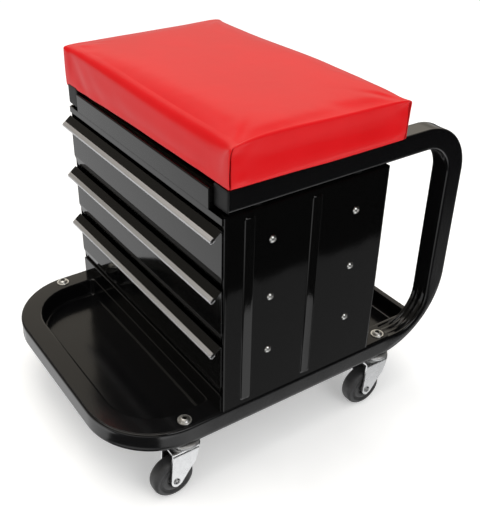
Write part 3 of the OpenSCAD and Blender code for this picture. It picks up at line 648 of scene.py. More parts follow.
panelSettings = {
    "x": 175.0, "front": -104.0, "back": 112.0, "bottom": 99.0, "top": 346.0, "sheet": 1.0,
    "hemRadius": 1.5, "hemDepth": 7.0, "backRadius": 3.0, "returnX": 161.0,
    "topRadius": 2.4, "flangeX": 150.0, "flangeFront": -96.0, "flangeBack": 108.0,
    # Each rib has steep edges; its face leans a little, lower at the front
    "ribs": (-74.0, 11.0), "ribHalf": 6.5, "ribEnds": (105.0, 340.0), "ribFront": 0.8, "ribBack": 2.1,
    "ribFlank": 1.5, "ribCorner": 3.5,
}


def ribHeight(y, z):
    s = panelSettings
    low, high = s["ribEnds"]
    r, total = s["ribCorner"], 0.0
    for middle in s["ribs"]:
        # Distance inside the rib's rounded outline
        ox = abs(y - middle) - s["ribHalf"] + r
        oz = abs(z - (low + high) / 2) - (high - low) / 2 + r
        inside = r - math.hypot(max(ox, 0), max(oz, 0)) - min(max(ox, oz), 0)
        lean = np.clip((y - middle) / s["ribHalf"], -1, 1) / 2 + 0.5
        face = s["ribFront"] + (s["ribBack"] - s["ribFront"]) * lean
        total += face * float(smoothStep(inside, 0, s["ribFlank"]))
    return total


def makeSidePanel(side):
    s = panelSettings
    # Plan outline: folded hem, nose, outer face, rear bend and return
    plan = [(s["x"] - 3.0, s["front"] + s["hemDepth"])]
    hem, bend = s["hemRadius"], s["backRadius"]
    plan += arcPoints(s["x"] - hem, s["front"] + hem, hem, 180, 180, 8)
    lines = {-99.0, s["flangeFront"], -60.0, -40.0, -20.0, 30.0, 60.0, 85.0, s["flangeBack"]}
    flank = np.linspace(-0.15, s["ribFlank"] + 0.15, 7)
    for middle in s["ribs"]:
        for edge in (-1, 1):
            lines.update(middle + edge * (s["ribHalf"] - d) for d in flank)
        lines.update(middle + d for d in (-3.0, 0.0, 3.0))
    plan += [(s["x"], y) for y in sorted(lines)]
    plan += arcPoints(s["x"] - bend, s["back"] - bend, bend, 0, 90, 5)
    plan.append((s["returnX"], s["back"]))
    low, high = s["ribEnds"]
    ends = [*flank, 2.5, 3.5, 5.0]
    heights = sorted({s["bottom"], *(low + d for d in ends), *np.linspace(low + 20, high - 20, 8),
                      *(high - d for d in ends), s["top"] - s["topRadius"]})
    points = []
    for z in heights:
        for i, (px, py) in enumerate(plan):
            onFace = abs(px - s["x"]) < 1e-6
            points.append((px + (ribHeight(py, z) if onFace else 0.0), py, z))
    columns = len(plan)
    faces = gridFaces(len(heights), columns)
    # Above the last full row the middle part bends in to the top flange, the ends go straight up
    first = next(i for i, p in enumerate(plan) if abs(p[1] - s["flangeFront"]) < 1e-6)
    last = next(i for i, p in enumerate(plan) if abs(p[1] - s["flangeBack"]) < 1e-6)
    lastRow = (len(heights) - 1) * columns
    for lo, hi, folded in ((0, first, False), (first, last, True), (last, columns - 1, False)):
        previous = [lastRow + i for i in range(lo, hi + 1)]
        if folded:
            rows = []
            for k in range(1, 6):
                a = math.radians(90 * k / 5)
                rows.append((s["topRadius"] * (1 - math.cos(a)),
                             s["top"] - s["topRadius"] * (1 - math.sin(a))))
            rows.append((s["x"] - s["flangeX"], s["top"]))
        else:
            rows = [(0.0, s["top"])]
        for inward, z in rows:
            start = len(points)
            points += [(plan[i][0] - inward, plan[i][1], z) for i in range(lo, hi + 1)]
            current = [start + i for i in range(hi - lo + 1)]
            for i in range(hi - lo):
                faces.append((previous[i], previous[i + 1], current[i + 1], current[i]))
            previous = current
    points = np.array(points)
    points[:, 0] *= side
    obj = makeObject("cabinetSideRight" if side > 0 else "cabinetSideLeft", points, faces)
    # The pressed sheet is thickened towards the inside of the cabinet
    outer = max(obj.data.polygons, key=lambda face: abs(face.center.x) + face.area * 100)
    thicken(obj, outer.normal.x * side, s["sheet"])
    softenEdges(obj, 0.3, 2, 60.0)
    node = "side_panel_right" if side > 0 else "side_panel_left"
    place(obj, "cart", cabinetEnamel, "cabinet_paint", node)


for side in (1, -1):
    makeSidePanel(side)


# Fixed strip below the drawers and fascia above them

stripSettings = {"front": -106.0, "halfX": 173.5, "sheet": 1.0, "bend": 1.6, "returnDepth": 10.0,
                 "kickBottom": 99.0, "kickTop": 122.5, "fasciaBottom": 337.2, "fasciaStep": 346.0,
                 "fasciaTop": 369.0, "fasciaMiddleX": 149.3, "returnX": 171.0}


def makeKickStrip():
    s = stripSettings
    y = s["front"]
    path = filletPath([(y, s["kickBottom"]), (y, s["kickTop"]), (y + s["returnDepth"], s["kickTop"])],
                      [s["bend"]])
    points, faces = sheetAlongX(path, -s["sheet"], s["halfX"],
                                lambda z: s["halfX"] if z < s["kickTop"] - 1.2 else s["returnX"])
    obj = makeObject("kickStrip", points, faces)
    softenEdges(obj, 0.25)
    place(obj, "cart", cabinetEnamel, "cabinet_paint", "kick_strip")


# Front plate as a grid whose upper corners are cut out round the rails, with folds along its free edges
def makeFascia():
    s = stripSettings
    y, t, r = s["front"], s["sheet"], s["bend"]
    parts = []
    # Lower strip with its return, full width
    deep = y + s["returnDepth"]
    low = filletPath([(deep, s["fasciaBottom"]), (y, s["fasciaBottom"]), (y, s["fasciaStep"])], [r])
    parts.append(sheetAlongX(low, -t, s["halfX"]))
    # Middle plate with its top return
    high = filletPath([(y, s["fasciaStep"] - 0.02), (y, s["fasciaTop"]), (deep, s["fasciaTop"])], [r])
    parts.append(sheetAlongX(high, -t, s["fasciaMiddleX"]))
    # Side returns between the rails
    for side in (1, -1):
        x = side * s["fasciaMiddleX"]
        plan = np.array([(x, y + t), (x, deep)])
        loop = np.vstack([plan, offsetPath(plan, side * t)[::-1]])
        points = [(px, py, z) for z in (s["fasciaStep"] + 0.3, s["fasciaTop"] - 1.3) for px, py in loop]
        parts.append((points, stripFaces(len(plan))))
    obj = makeObject("fasciaPlate", *joinParts(parts))
    softenEdges(obj, 0.25)
    place(obj, "cart", cabinetEnamel, "cabinet_paint", "fascia")


makeKickStrip()
makeFascia()
print("cabinet made")


# Drawers

drawerSettings = {
    # Each drawer with the height of its front's top edge
    "names": {"top_drawer": 334.5, "middle_drawer": 263.5, "bottom_drawer": 192.5},
    "front": -106.0, "halfX": 173.5, "sheet": 1.0, "height": 68.7, "bevelHeight": 12.3, "bevelIn": 2.4,
    "mitre": 4.5, "lip": 11.0, "lipFall": 9.6,                # the lip slopes down and out
    "trimX": 172.0, "trim": 1.0, "trimStart": 0.77, "trimRadius": 1.6, "trimBack": 3.4,
    "boxX": 163.0, "boxFront": -105.0, "boxBack": 90.0, "boxCorner": 3.2, "boxBottom": 55.0, "boxTop": 9.0,
    "hem": 6.5,
}


def makeDrawerFront(name, top):
    s = drawerSettings
    t, bevelTop = s["sheet"], s["bevelHeight"] - s["height"]
    corners = [(s["bevelIn"] + t, -s["height"]), (t, bevelTop), (t, 0.0), (-s["lip"], -s["lipFall"])]
    path = filletPath(corners, [5.0, 1.2])
    path = path + np.array([s["front"], top])

    def endX(z):
        below = top + bevelTop - z
        return s["halfX"] - (s["mitre"] * below / s["bevelHeight"] if below > 0 else 0.0)
    obj = makeObject(camelName(name) + "Front", *sheetAlongX(path, t, s["halfX"], endX))
    softenEdges(obj, 0.25)
    place(obj, name, drawerEnamel, "drawer_paint", name + "_front")


# Extruded grip: a strap over the outer half of the lip, rolled round its edge and turned back up beneath it
def makeDrawerTrim(name, top):
    s = drawerSettings
    r = s["trimRadius"]
    root, edge = np.array([s["sheet"], 0.0]), np.array([-s["lip"], -s["lipFall"]])
    along = (edge - root) / np.linalg.norm(edge - root)
    under = np.array([-along[1], along[0]])
    start = root + (edge - root) * s["trimStart"] - under * 0.02
    middle = edge + along * 0.3 + under * r
    first = math.atan2(-under[1], -under[0])
    path = [start]
    for k in range(15):
        a = first + math.pi * k / 14
        path.append(middle + r * np.array([math.cos(a), math.sin(a)]))
    path.append(path[-1] - along * s["trimBack"])
    path = np.array(path) + np.array([s["front"], top])
    obj = makeObject(camelName(name) + "Trim", *sheetAlongX(path, -s["trim"], s["trimX"]))
    softenEdges(obj, 0.2)
    place(obj, name, anodisedAluminium, "trim_aluminium", name + "_trim")


# Folded box with rounded corners and a hem turned in along the rim
def makeDrawerBox(name, top):
    s = drawerSettings
    z0, z1, r = top - s["boxBottom"], top - s["boxTop"], s["boxCorner"]
    hem = z1 - s["hem"]
    # Up the outside, over the rolled rim and down the inside: (inset, height)
    steps = [(2.2, z0), (0.6, z0 + 0.25), (0.0, z0 + 1.4), (0.0, z1 - 1.0), (0.3, z1 - 0.3), (1.0, z1),
             (1.7, z1 - 0.3), (2.0, z1 - 1.0), (2.0, hem), (1.75, hem - 0.35), (1.0, hem - 0.4),
             (1.0, z0 + 2.6), (1.45, z0 + 1.5), (2.6, z0 + 1.0)]
    loops = [bayLoop(s["boxX"] - d, s["boxFront"] + d, s["boxBack"] - d, r - d, r - d, z, 4)
             for d, z in steps]
    obj = makeObject(camelName(name) + "Box", *skin(loops))
    shade(obj, 35.0)
    place(obj, name, drawerEnamel, "drawer_paint", name + "_box")


for name, top in drawerSettings["names"].items():
    makeDrawerFront(name, top)
    makeDrawerTrim(name, top)
    makeDrawerBox(name, top)
print("drawers made")


# Screws, bolts and washers

screwSettings = {"radius": 4.4, "rise": 2.3, "slotLength": 2.3, "slotHalf": 0.42, "slotDepth": 1.1,
                 "ys": (-44.4, 67.1), "drop": 29.3, "x": 175.0}


# Domed head on a polar grid; the cross recess is pressed into the middle
def domedHead(radius, rise, recess):
    rings, segments = 26, 60
    domeRadius = (radius * radius + rise * rise) / (2 * rise)
    points = [(0.0, 0.0, rise - recess(0.0, 0.0))]
    for i in range(1, rings + 1):
        r = radius * (i / rings) ** 0.9
        for k in range(segments):
            a = 2 * math.pi * k / segments
            x, y = r * math.cos(a), r * math.sin(a)
            height = rise - domeRadius + math.sqrt(domeRadius ** 2 - r * r)
            points.append((x, y, height - recess(x, y)))
    for k in range(segments):
        a = 2 * math.pi * k / segments
        points.append((radius * math.cos(a), radius * math.sin(a), -0.3))
    faces = [(0, 1 + k, 1 + (k + 1) % segments) for k in range(segments)]
    faces += gridFaces(rings + 1, segments, 1, closed=True)
    start = 1 + rings * segments
    faces.append(tuple(start + k for k in range(segments)))
    return points, faces


def crossRecess(x, y):
    s = screwSettings
    arm = 0.0
    for u, v in ((x, y), (y, x)):
        along = 1 - float(smoothStep(abs(u), s["slotLength"] - 0.5, s["slotLength"]))
        across = 1 - float(smoothStep(abs(v), s["slotHalf"], s["slotHalf"] + 0.35))
        arm = max(arm, along * across)
    return s["slotDepth"] * arm


def makeSlideScrews():
    s = screwSettings
    head = domedHead(s["radius"], s["rise"], crossRecess)
    parts = []
    for side in (1, -1):
        for y in s["ys"]:
            for top in drawerSettings["names"].values():
                where = Matrix.Translation((side * s["x"], y, top - s["drop"]))
                turn = Matrix.Rotation(math.radians(90 * side), 4, "Y")
                spin = Matrix.Rotation(0.4 + 1.1 * len(parts), 4, "Z")    # each screw stopped at its own turn
                parts.append((movePoints(head[0], where @ turn @ spin), head[1]))
    obj = makeObject("slideScrews", *joinParts(parts))
    shade(obj, 50.0)
    place(obj, "cart", nickelPlate, "screw_chrome", "slide_screws")


casterSettings = {
    "x": 162.5, "frontY": -146.1, "rearY": 139.2, "trail": 19.5, "axleZ": 25.6,
    "wheelRadius": 25.6, "wheelWidth": 18.0, "deck": 99.0,
    "washer": (4.3, 8.2, 1.2),    # inner and outer radius, thickness
    "headRadius": 6.6, "headHeight": 3.6, "socket": 2.7, "socketDepth": 3.0,
    "crownZ": 66.7, "sheet": 2.2, "legOut": 13.0, "bend": 3.6, "crownRadius": 17.0,
    "cupBottom": 67.0, "cupTop": 73.0,
}
casterNames = {"front_left": (-1, "frontY"), "front_right": (1, "frontY"), "rear_left": (-1, "rearY"),
               "rear_right": (1, "rearY")}


def casterPlaces():
    s = casterSettings
    return [(name, side * s["x"], s[end]) for name, (side, end) in casterNames.items()]


def hexSocket(x, y):
    s = casterSettings
    reach = max(abs(x * math.cos(a) + y * math.sin(a)) for a in (0, math.pi / 3, 2 * math.pi / 3))
    return s["socketDepth"] * (1 - float(smoothStep(reach, s["socket"] - 0.2, s["socket"] + 0.15)))


def makeCasterBolts():
    s = casterSettings
    head = domedHead(s["headRadius"], s["headHeight"], hexSocket)
    parts = []
    for k, (name, x, y) in enumerate(casterPlaces()):
        spin = Matrix.Rotation(0.5 + 0.8 * k, 4, "Z")
        where = Matrix.Translation((x, y, s["deck"] + s["washer"][2])) @ spin
        parts.append((movePoints(head[0], where), head[1]))
    obj = makeObject("casterBolts", *joinParts(parts))
    # Painted shade: the recess attribute is 1 down in the hex socket, where the material darkens the head
    inSocket = [hexSocket(x, y) / s["socketDepth"] for x, y, z in head[0]]
    socketShade = obj.data.attributes.new("recess", "FLOAT", "POINT")
    socketShade.data.foreach_set("value", inSocket * len(parts))
    shade(obj, 50.0)
    place(obj, "cart", satinNickel, "screw_chrome", "caster_bolts")


def makeCasterWashers():
    s = casterSettings
    inner, outer, t = s["washer"]
    profile = [(inner, 0), (outer - 0.15, 0), (outer, 0.2), (outer, t - 0.35), (outer - 0.3, t), (inner, t)]
    places = [Matrix.Translation((x, y, s["deck"])) for name, x, y in casterPlaces()]
    obj = makeTurned("casterWashers", profile, 48, True, places, 30.0)
    place(obj, "cart", satinNickel, "screw_chrome", "caster_washers")


def makeCasterCups():
    s = casterSettings
    z0, z1 = s["cupBottom"], s["cupTop"]
    profile = [(4.3, z0 + 0.4), (9.0, z0 + 0.4), (13.0, z0 + 0.1), (15.0, z0 + 0.3), (15.8, z0 + 1.2),
               (16.3, z0 + 2.6), (16.2, z0 + 3.8), (15.6, z0 + 4.9), (14.6, z0 + 5.6), (13.2, z1 - 0.02),
               (4.3, z1 - 0.02)]
    places = [Matrix.Translation((x, y, 0)) for name, x, y in casterPlaces()]
    obj = makeTurned("casterCups", profile, 64, True, places, 50.0)
    place(obj, "cart", satinZinc, "caster_steel", "caster_cups")


makeSlideScrews()
makeCasterBolts()
makeCasterWashers()
makeCasterCups()


# Fork legs seen from the side: (height, back edge, front edge) in y from the swivel axis
legOutline = [(66.7, -22.6, 10.4), (64.0, -23.2, 10.2), (59.0, -23.9, 9.5), (52.0, -24.4, 7.9),
              (44.0, -24.9, 5.0), (40.4, -25.1, 1.9), (34.3, -25.6, -3.0), (29.0, -26.0, -6.7),
              (25.6, -26.3, -9.2), (22.6, -25.6, -11.3),
              (20.4, -24.2, -13.2), (18.8, -22.5, -15.2), (17.9, -20.9, -17.2), (17.5, -19.6, -18.6)]


def makeFork(name, x, y):
    s = casterSettings
    heights, backs, fronts = zip(*legOutline[::-1])
    out, r, top = s["legOut"], s["bend"], s["crownZ"]
    # Across the fork: up one leg, round the bend, over the crown and down the other leg
    line = [(out, z) for z in sorted({*heights[:-2], 47.0, 50.0, 55.0, 61.0, top - r})]
    line += [(out - r + r * math.cos(a), top - r + r * math.sin(a))
             for a in np.radians(np.linspace(15, 90, 6))]
    line += [(px, top) for px in np.linspace(out - r, 0, 5)[1:]]
    line += [(-px, z) for px, z in line[-2::-1]]
    points = []
    columns = 13
    for px, z in line:
        back, front = np.interp(z, heights, backs), np.interp(z, heights, fronts)
        if z > top - r:
            crown = math.sqrt(max(s["crownRadius"] ** 2 - px * px, 0))
            blend = float(smoothStep(z, top - r, top))
            front = front + (crown - front) * blend
        for k in range(columns):
            share = k / (columns - 1)
            points.append((px, back + (front - back) * share, z))
    obj = makeObject(camelName(name) + "Fork", points, gridFaces(len(line), columns))
    thicken(obj, max(obj.data.polygons, key=lambda face: face.center.z).normal.z, s["sheet"])
    obj.data.transform(Matrix.Translation((x * mm, y * mm, 0)))
    softenEdges(obj, 0.45, 2, 60.0)
    place(obj, name + "_swivel", brightZinc, "caster_steel", name + "_fork")


def axlePlace(x, y):
    s = casterSettings
    return Matrix.Translation((x, y - s["trail"], s["axleZ"])) @ Matrix.Rotation(math.radians(90), 4, "Y")


# Hollow rivet through both legs, rolled over at its ends
def makeAxle(name, x, y):
    leg = casterSettings["legOut"]
    end = leg + 1.3
    half = [(3.0, 0.0), (3.0, leg + 0.02), (3.9, leg + 0.05), (4.1, leg + 0.5), (3.6, end - 0.25),
            (2.9, end), (2.2, end - 0.2), (1.8, end - 1.0), (1.8, end - 4.0)]
    profile = [(r, -h) for r, h in half[:0:-1]] + half
    obj = makeTurned(camelName(name) + "Axle", profile, 32, False, [axlePlace(x, y)], 50.0)
    place(obj, name + "_swivel", zincFixings, "fixing_steel", name + "_axle")


# Solid wheel: rounded tread shoulders, a shallow dish in each side and a boss against the fork
def makeWheel(name, x, y):
    outer, w = casterSettings["wheelRadius"], casterSettings["wheelWidth"] / 2
    half = [(15.6, 0.0), (15.6, w - 0.7), (16.0, w - 0.45), (18.6, w - 0.45), (19.0, w - 0.05), (20.4, w),
            (21.7, w - 0.2), (23.0, w - 0.8), (24.2, w - 1.9), (25.0, w - 3.2), (25.45, w - 4.6),
            (outer, w - 6.4)]
    profile = half + [(r, -h) for r, h in half[:0:-1]]
    tyre = makeTurned(camelName(name) + "Tyre", profile, 96, True, [axlePlace(x, y)], 50.0)
    place(tyre, name + "_wheel", hardRubber, "wheel_rubber", name + "_tyre")
    half = [(3.1, 10.4), (5.6, 10.4), (6.2, 10.1), (6.5, 9.2), (6.9, w - 2.6), (8.2, w - 2.7), (9.0, w - 0.9),
            (9.8, w - 0.55), (15.0, w - 0.5), (15.55, w - 0.75)]
    profile = half + [(r, -h) for r, h in half[::-1]]
    hub = makeTurned(camelName(name) + "Hub", profile, 64, True, [axlePlace(x, y)], 50.0)
    place(hub, name + "_wheel", hubNylon, "wheel_hub", name + "_hub")


for name, x, y in casterPlaces():
    makeFork(name, x, y)
    makeAxle(name, x, y)
    makeWheel(name, x, y)
print("casters made")


# Seat cushion: foam block in a vinyl cover, folded like a parcel at its four corners
cushionSettings = {
    "halfX": 181.0, "front": -103.2, "back": 125.4, "cornerRadius": 2.4, "innerCorner": 2.0,
    "sideEdge": 3.0, "frontEdge": 12.0, "bottomRadius": 2.6, "crown": 3.2, "bottom": 375.6,
    # Height of the top edge along the right and the left side, and how far the front edge falls below it
    "rightLine": ((-96.5, 422.7), (-65, 425.0), (-37, 425.4), (-2, 424.3), (34, 423.0), (71, 422.3),
                  (111, 421.3)),
    "leftLine": ((-100, 421.6), (-75, 421.4), (-36, 421.4), (3, 420.9), (50, 420.3), (100, 420.3),
                 (120, 420.2)),
    "frontFall": ((-181, 0.0), (-150, 0.5), (-61, 2.4), (35, 6.0), (119, 4.6), (168, 2.0), (181, 0.8)),
    "fallReach": 17.0, "backRise": 4.3, "cornerFall": 2.6, "frontWiden": 0.35,
    # Height of the cover's lower edge: it hangs low at the front left and is drawn up at the front right
    "frontBottom": ((-181, 369.6), (-172, 371.0), (-154, 371.9), (-109, 372.8), (-67, 374.1), (-27, 375.1),
                    (10, 375.7), (61, 376.4), (109, 376.9), (181, 377.3)),
    "rightBottom": ((-103, 377.3), (-60, 377.4), (-24, 377.0), (15, 375.8), (40, 375.6)),
    "leftBottom": ((-103, 369.6), (-78, 375.6)),
    "frontBelly": 1.8, "frontSkew": 1.5, "backLean": 2.4, "boardGap": 0.8, "boardTop": 385.6,
    "columns": (56, 35), "arcPoints": 2,       # points along each side and in each half corner
    # Cloth: how far a point may move, and how much of that is left at an edge and within reach of it
    "pressure": 4.0, "frames": 20, "cap": 2.0, "edgeGive": 0.12, "edgeReach": 22.0, "cornerReach": 60.0,
    # Parcel fold on each side: how far it lies from the end of the cushion at each height
    "foldLine": ((376, 1.2), (385, 0.3), (396, 0.3), (409, 0.8), (416, 1.4), (420, 2.8), (425, 7.0)),
    "foldCuts": (0.2, 0.5, 0.9, 1.3, 1.7, 2.1, 2.5, 2.9, 3.3, 3.8, 4.3, 4.9, 5.6, 6.5, 7.6, 9.0),
    "lipRise": 0.8, "grooveDepth": 2.4, "grooveWidth": 2.6, "tuckDepth": 1.3, "tuckReach": 15.0,
    "pocket": 1.8, "pocketHeight": 411.0, "heel": 1.8, "hollow": 1.6,
    # Shallow pulls across the side: start, slope, width, depth
    "pulls": ((12, 0.9, 12.0, 0.6), (36, 1.4, 16.0, 0.4), (78, 2.0, 22.0, 0.3)),
}


# Points round a rounded rectangle, always in the same order, so that loops of different size can be joined
def cushionLoop(hx, y0, y1, r):
    columns, arc = cushionSettings["columns"], cushionSettings["arcPoints"]
    centres = [(-hx + r, y0 + r), (hx - r, y0 + r), (hx - r, y1 - r), (-hx + r, y1 - r)]
    points = []
    for k in range(4):
        heading, count = math.radians(-90 + 90 * k), columns[k % 2]
        a, b = np.array(centres[k]), np.array(centres[(k + 1) % 4])
        out = np.array([math.cos(heading), math.sin(heading)])
        for i in range(arc):
            turn = heading - math.radians(45) * (1 - i / arc)
            points.append(a + r * np.array([math.cos(turn), math.sin(turn)]))
        for i in range(count + 1):
            # Closer together towards the corners, where the form turns quickly
            share = i / count
            share += 0.45 * ((1 - math.cos(math.pi * share)) / 2 - share)
            points.append(a + (b - a) * share + out * r)
        for i in range(1, arc):
            turn = heading + math.radians(45) * i / arc
            points.append(b + r * np.array([math.cos(turn), math.sin(turn)]))
    return np.array(points)


def insetLoop(insetX, insetY, corner):
    s = cushionSettings
    return cushionLoop(s["halfX"] - insetX, s["front"] + insetY, s["back"] - insetY, corner)


def curveThrough(points, degree):
    return np.poly1d(np.polyfit(*zip(*points), degree))


rightEdge = curveThrough(cushionSettings["rightLine"], 4)
leftEdge = curveThrough(cushionSettings["leftLine"], 3)
frontFall = curveThrough(cushionSettings["frontFall"], 4)


def edgeHeight(x, y):
    y = np.clip(y, -103, 118)
    share = (1 + np.clip(x / cushionSettings["halfX"], -1, 1)) / 2
    return leftEdge(y) + (rightEdge(y) - leftEdge(y)) * share


def cushionTopHeight(x, y):
    s = cushionSettings
    a = np.clip(x / s["halfX"], -1, 1)
    b = np.clip(2 * (y - s["front"]) / (s["back"] - s["front"]) - 1, -1, 1)
    edge = edgeHeight(x, y) - s["cornerFall"] * (a * b) ** 10 - 1.2 * a ** 10 * smoothStep(b, 0.8, 1.0)
    edge = edge + s["backRise"] * smoothStep(a, -0.6, 0.3) * (1 - a ** 8) * smoothStep(b, 0.2, 1.0)
    fall = frontFall(x) * np.exp(-((y - s["front"]) / s["fallReach"]) ** 2)
    return edge + s["crown"] * (1 - a ** 4) * (1 - b ** 4) - fall


def alongY(shift):
    return np.stack([np.zeros(len(shift)), shift], 1)


def makeCushionShell():
    s = cushionSettings
    rb = s["bottomRadius"]
    inner = insetLoop(s["sideEdge"], s["frontEdge"], s["innerCorner"])
    outer = insetLoop(0, 0, s["cornerRadius"])
    # The top edge is crisp at the two sides and softer in front and behind
    across = smoothStep(s["halfX"] - np.abs(outer[:, 0]), 0.0, 14.0)
    frontEdge = s["frontEdge"] * (1 + s["frontWiden"] * outer[:, 0] / s["halfX"])
    r = s["sideEdge"] + (frontEdge - s["sideEdge"]) * across
    count = len(outer)
    nx, ny = (n + 2 * s["arcPoints"] for n in s["columns"])
    # The top is a grid spanned between its four border curves
    front, right = inner[:nx + 1], inner[nx:nx + ny + 1]
    back = inner[nx + ny:2 * nx + ny + 1][::-1]
    left = np.vstack([inner[2 * nx + ny:], inner[:1]])[::-1]
    u = (front[:, 0] - front[0, 0]) / (front[-1, 0] - front[0, 0])
    v = (right[:, 1] - right[0, 1]) / (right[-1, 1] - right[0, 1])
    u, v = u[None, :, None], v[:, None, None]
    ruled = (1 - v) * front[None] + v * back[None] + (1 - u) * left[:, None] + u * right[:, None]
    corners = (1 - u) * (1 - v) * front[0] + u * (1 - v) * front[-1]
    corners = corners + (1 - u) * v * back[0] + u * v * back[-1]
    grid = ruled - corners
    points = [(x, y, float(cushionTopHeight(x, y))) for x, y in grid.reshape(-1, 2)]
    index = np.arange((nx + 1) * (ny + 1)).reshape(ny + 1, nx + 1)
    faces = gridFaces(ny + 1, nx + 1)
    border = list(index[0, :-1]) + list(index[:-1, -1]) + list(index[-1, :0:-1]) + list(index[:0:-1, 0])
    rows = [border]

    def addRow(xy, z):
        start = len(points)
        points.extend((p[0], p[1], float(h)) for p, h in zip(xy, z))
        rows.append([start + i for i in range(count)])
    edge = np.array([float(cushionTopHeight(x, y)) for x, y in inner])
    for k in range(1, 6):
        a = math.radians(90 * k / 5)
        addRow(outer + (inner - outer) * (1 - math.sin(a)), edge - r * (1 - math.cos(a)))
    ahead = np.clip((s["front"] + 6 - outer[:, 1]) / 6, 0, 1)
    middle = 1 - np.clip(np.abs(outer[:, 0]) / 150, 0, 1) ** 4
    behind = np.clip((outer[:, 1] - s["back"] + 6) / 6, 0, 1)
    px, py = outer.T
    low = np.where(px > 0, np.interp(py, *zip(*s["rightBottom"])), np.interp(py, *zip(*s["leftBottom"])))
    low = low + (np.interp(px, *zip(*s["frontBottom"])) - low) * ahead
    for share in (0.14, 0.28, 0.42, 0.56, 0.7, 0.85, 1.0):
        z = (edge - r) * (1 - share) + (low + rb) * share
        belly = s["frontBelly"] * ahead * math.sin(math.pi * min(1, share / 1.15)) ** 1.5 * middle
        addRow(outer - alongY(belly + s["backLean"] * share * behind), z)
    foot = outer - alongY(s["frontBelly"] * 0.5 * ahead * middle + s["backLean"] * behind)
    under = insetLoop(rb, rb, s["innerCorner"]) - alongY(s["backLean"] * behind)
    for k in (1, 2):
        a = math.radians(45 * k)
        addRow(foot + (under - foot) * (1 - math.cos(a)), low + rb * (1 - math.sin(a)))
    addRow(insetLoop(rb + 2, rb + 2, s["innerCorner"]), np.maximum(low, s["bottom"]))
    # The front stands a little further forward at the left
    for i, (x, y, z) in enumerate(points):
        skew = smoothStep(-x, 40, 178) * (1 - smoothStep(y, s["front"], s["front"] + 80))
        points[i] = (x, y - s["frontSkew"] * float(skew), z)
    board = [np.array(corner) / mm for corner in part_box("seat_board")]
    gap = s["boardGap"]
    hole = cushionLoop(board[1][0] + gap, board[0][1] - gap, board[1][1] + gap, s["innerCorner"])
    addRow(hole, np.full(count, s["bottom"] + 0.4))
    addRow(hole, np.full(count, s["boardTop"] - 3.0))
    addRow(hole, np.full(count, s["boardTop"]))
    for upper, lower in zip(rows, rows[1:]):
        faces += [(upper[i], upper[(i + 1) % count], lower[(i + 1) % count], lower[i]) for i in range(count)]
    faces.append(tuple(rows[-1]))
    return makeObject("seatCushion", points, faces), rows


# The cover is blown up a little like real stuffing does; the foam's firm edges and corners hold their line
def inflateCushion(obj, rows):
    s = cushionSettings
    held = obj.vertex_groups.new(name="held")
    held.add([i for row in rows[-7:] for i in row], 1.0, "REPLACE")
    before = np.array([v.co for v in obj.data.vertices])
    cloth = modify(obj, "CLOTH")
    cloth.settings.vertex_group_mass = "held"
    cloth.settings.quality = 4
    cloth.settings.mass = 0.3
    cloth.settings.tension_stiffness = cloth.settings.compression_stiffness = 9.0
    cloth.settings.bending_stiffness = 0.6
    cloth.settings.use_pressure = True
    cloth.settings.uniform_pressure_force = s["pressure"]
    cloth.settings.effector_weights.gravity = 0.0
    cloth.collision_settings.use_collision = False
    for frameNumber in range(1, s["frames"] + 1):
        scene.frame_set(frameNumber)
    applyAll(obj)
    after = np.array([v.co for v in obj.data.vertices])
    x, y, z = (before / mm).T
    # Distances to the nearest side, end and top: the middle one tells how near an edge is
    toSide, toEnd = s["halfX"] - np.abs(x), np.minimum(y - s["front"], s["back"] - y)
    near = np.sort(np.stack([toSide, toEnd, edgeHeight(x, y) - z]), 0)
    give = s["edgeGive"] + (1 - s["edgeGive"]) * smoothStep(near[1], 0, s["edgeReach"])
    give *= smoothStep(np.hypot(toSide, toEnd), 3, s["cornerReach"])
    move = (after - before) * give[:, None]
    far = np.linalg.norm(move, axis=1)
    limit = s["cap"] * mm
    move *= (limit * np.tanh(far / limit) / np.maximum(far, 1e-9))[:, None]
    obj.data.vertices.foreach_set("co", (before + move).ravel())
    obj.vertex_groups.clear()
    scene.frame_set(1)


# Fine lines across both sides near the corners, so that the folds there have edges of their own
def cutForFolds(obj):
    s = cushionSettings
    work = bmesh.new()
    work.from_mesh(obj.data)
    for end, heading in ((s["front"], 1), (s["back"], -1)):
        side = []
        for face in work.faces:
            middle = face.calc_center_median() / mm
            if abs(middle.x) > s["halfX"] - 5 and (middle.y - end) * heading < 14:
                side.append(face)
        parts = list({part for face in side for part in (face, *face.edges, *face.verts)})
        for offset in s["foldCuts"]:
            at = (0, (end + heading * offset) * mm, 0)
            parts = bmesh.ops.bisect_plane(work, geom=parts, plane_co=at, plane_no=(0, 1, 0))["geom"]
    work.to_mesh(obj.data)
    work.free()


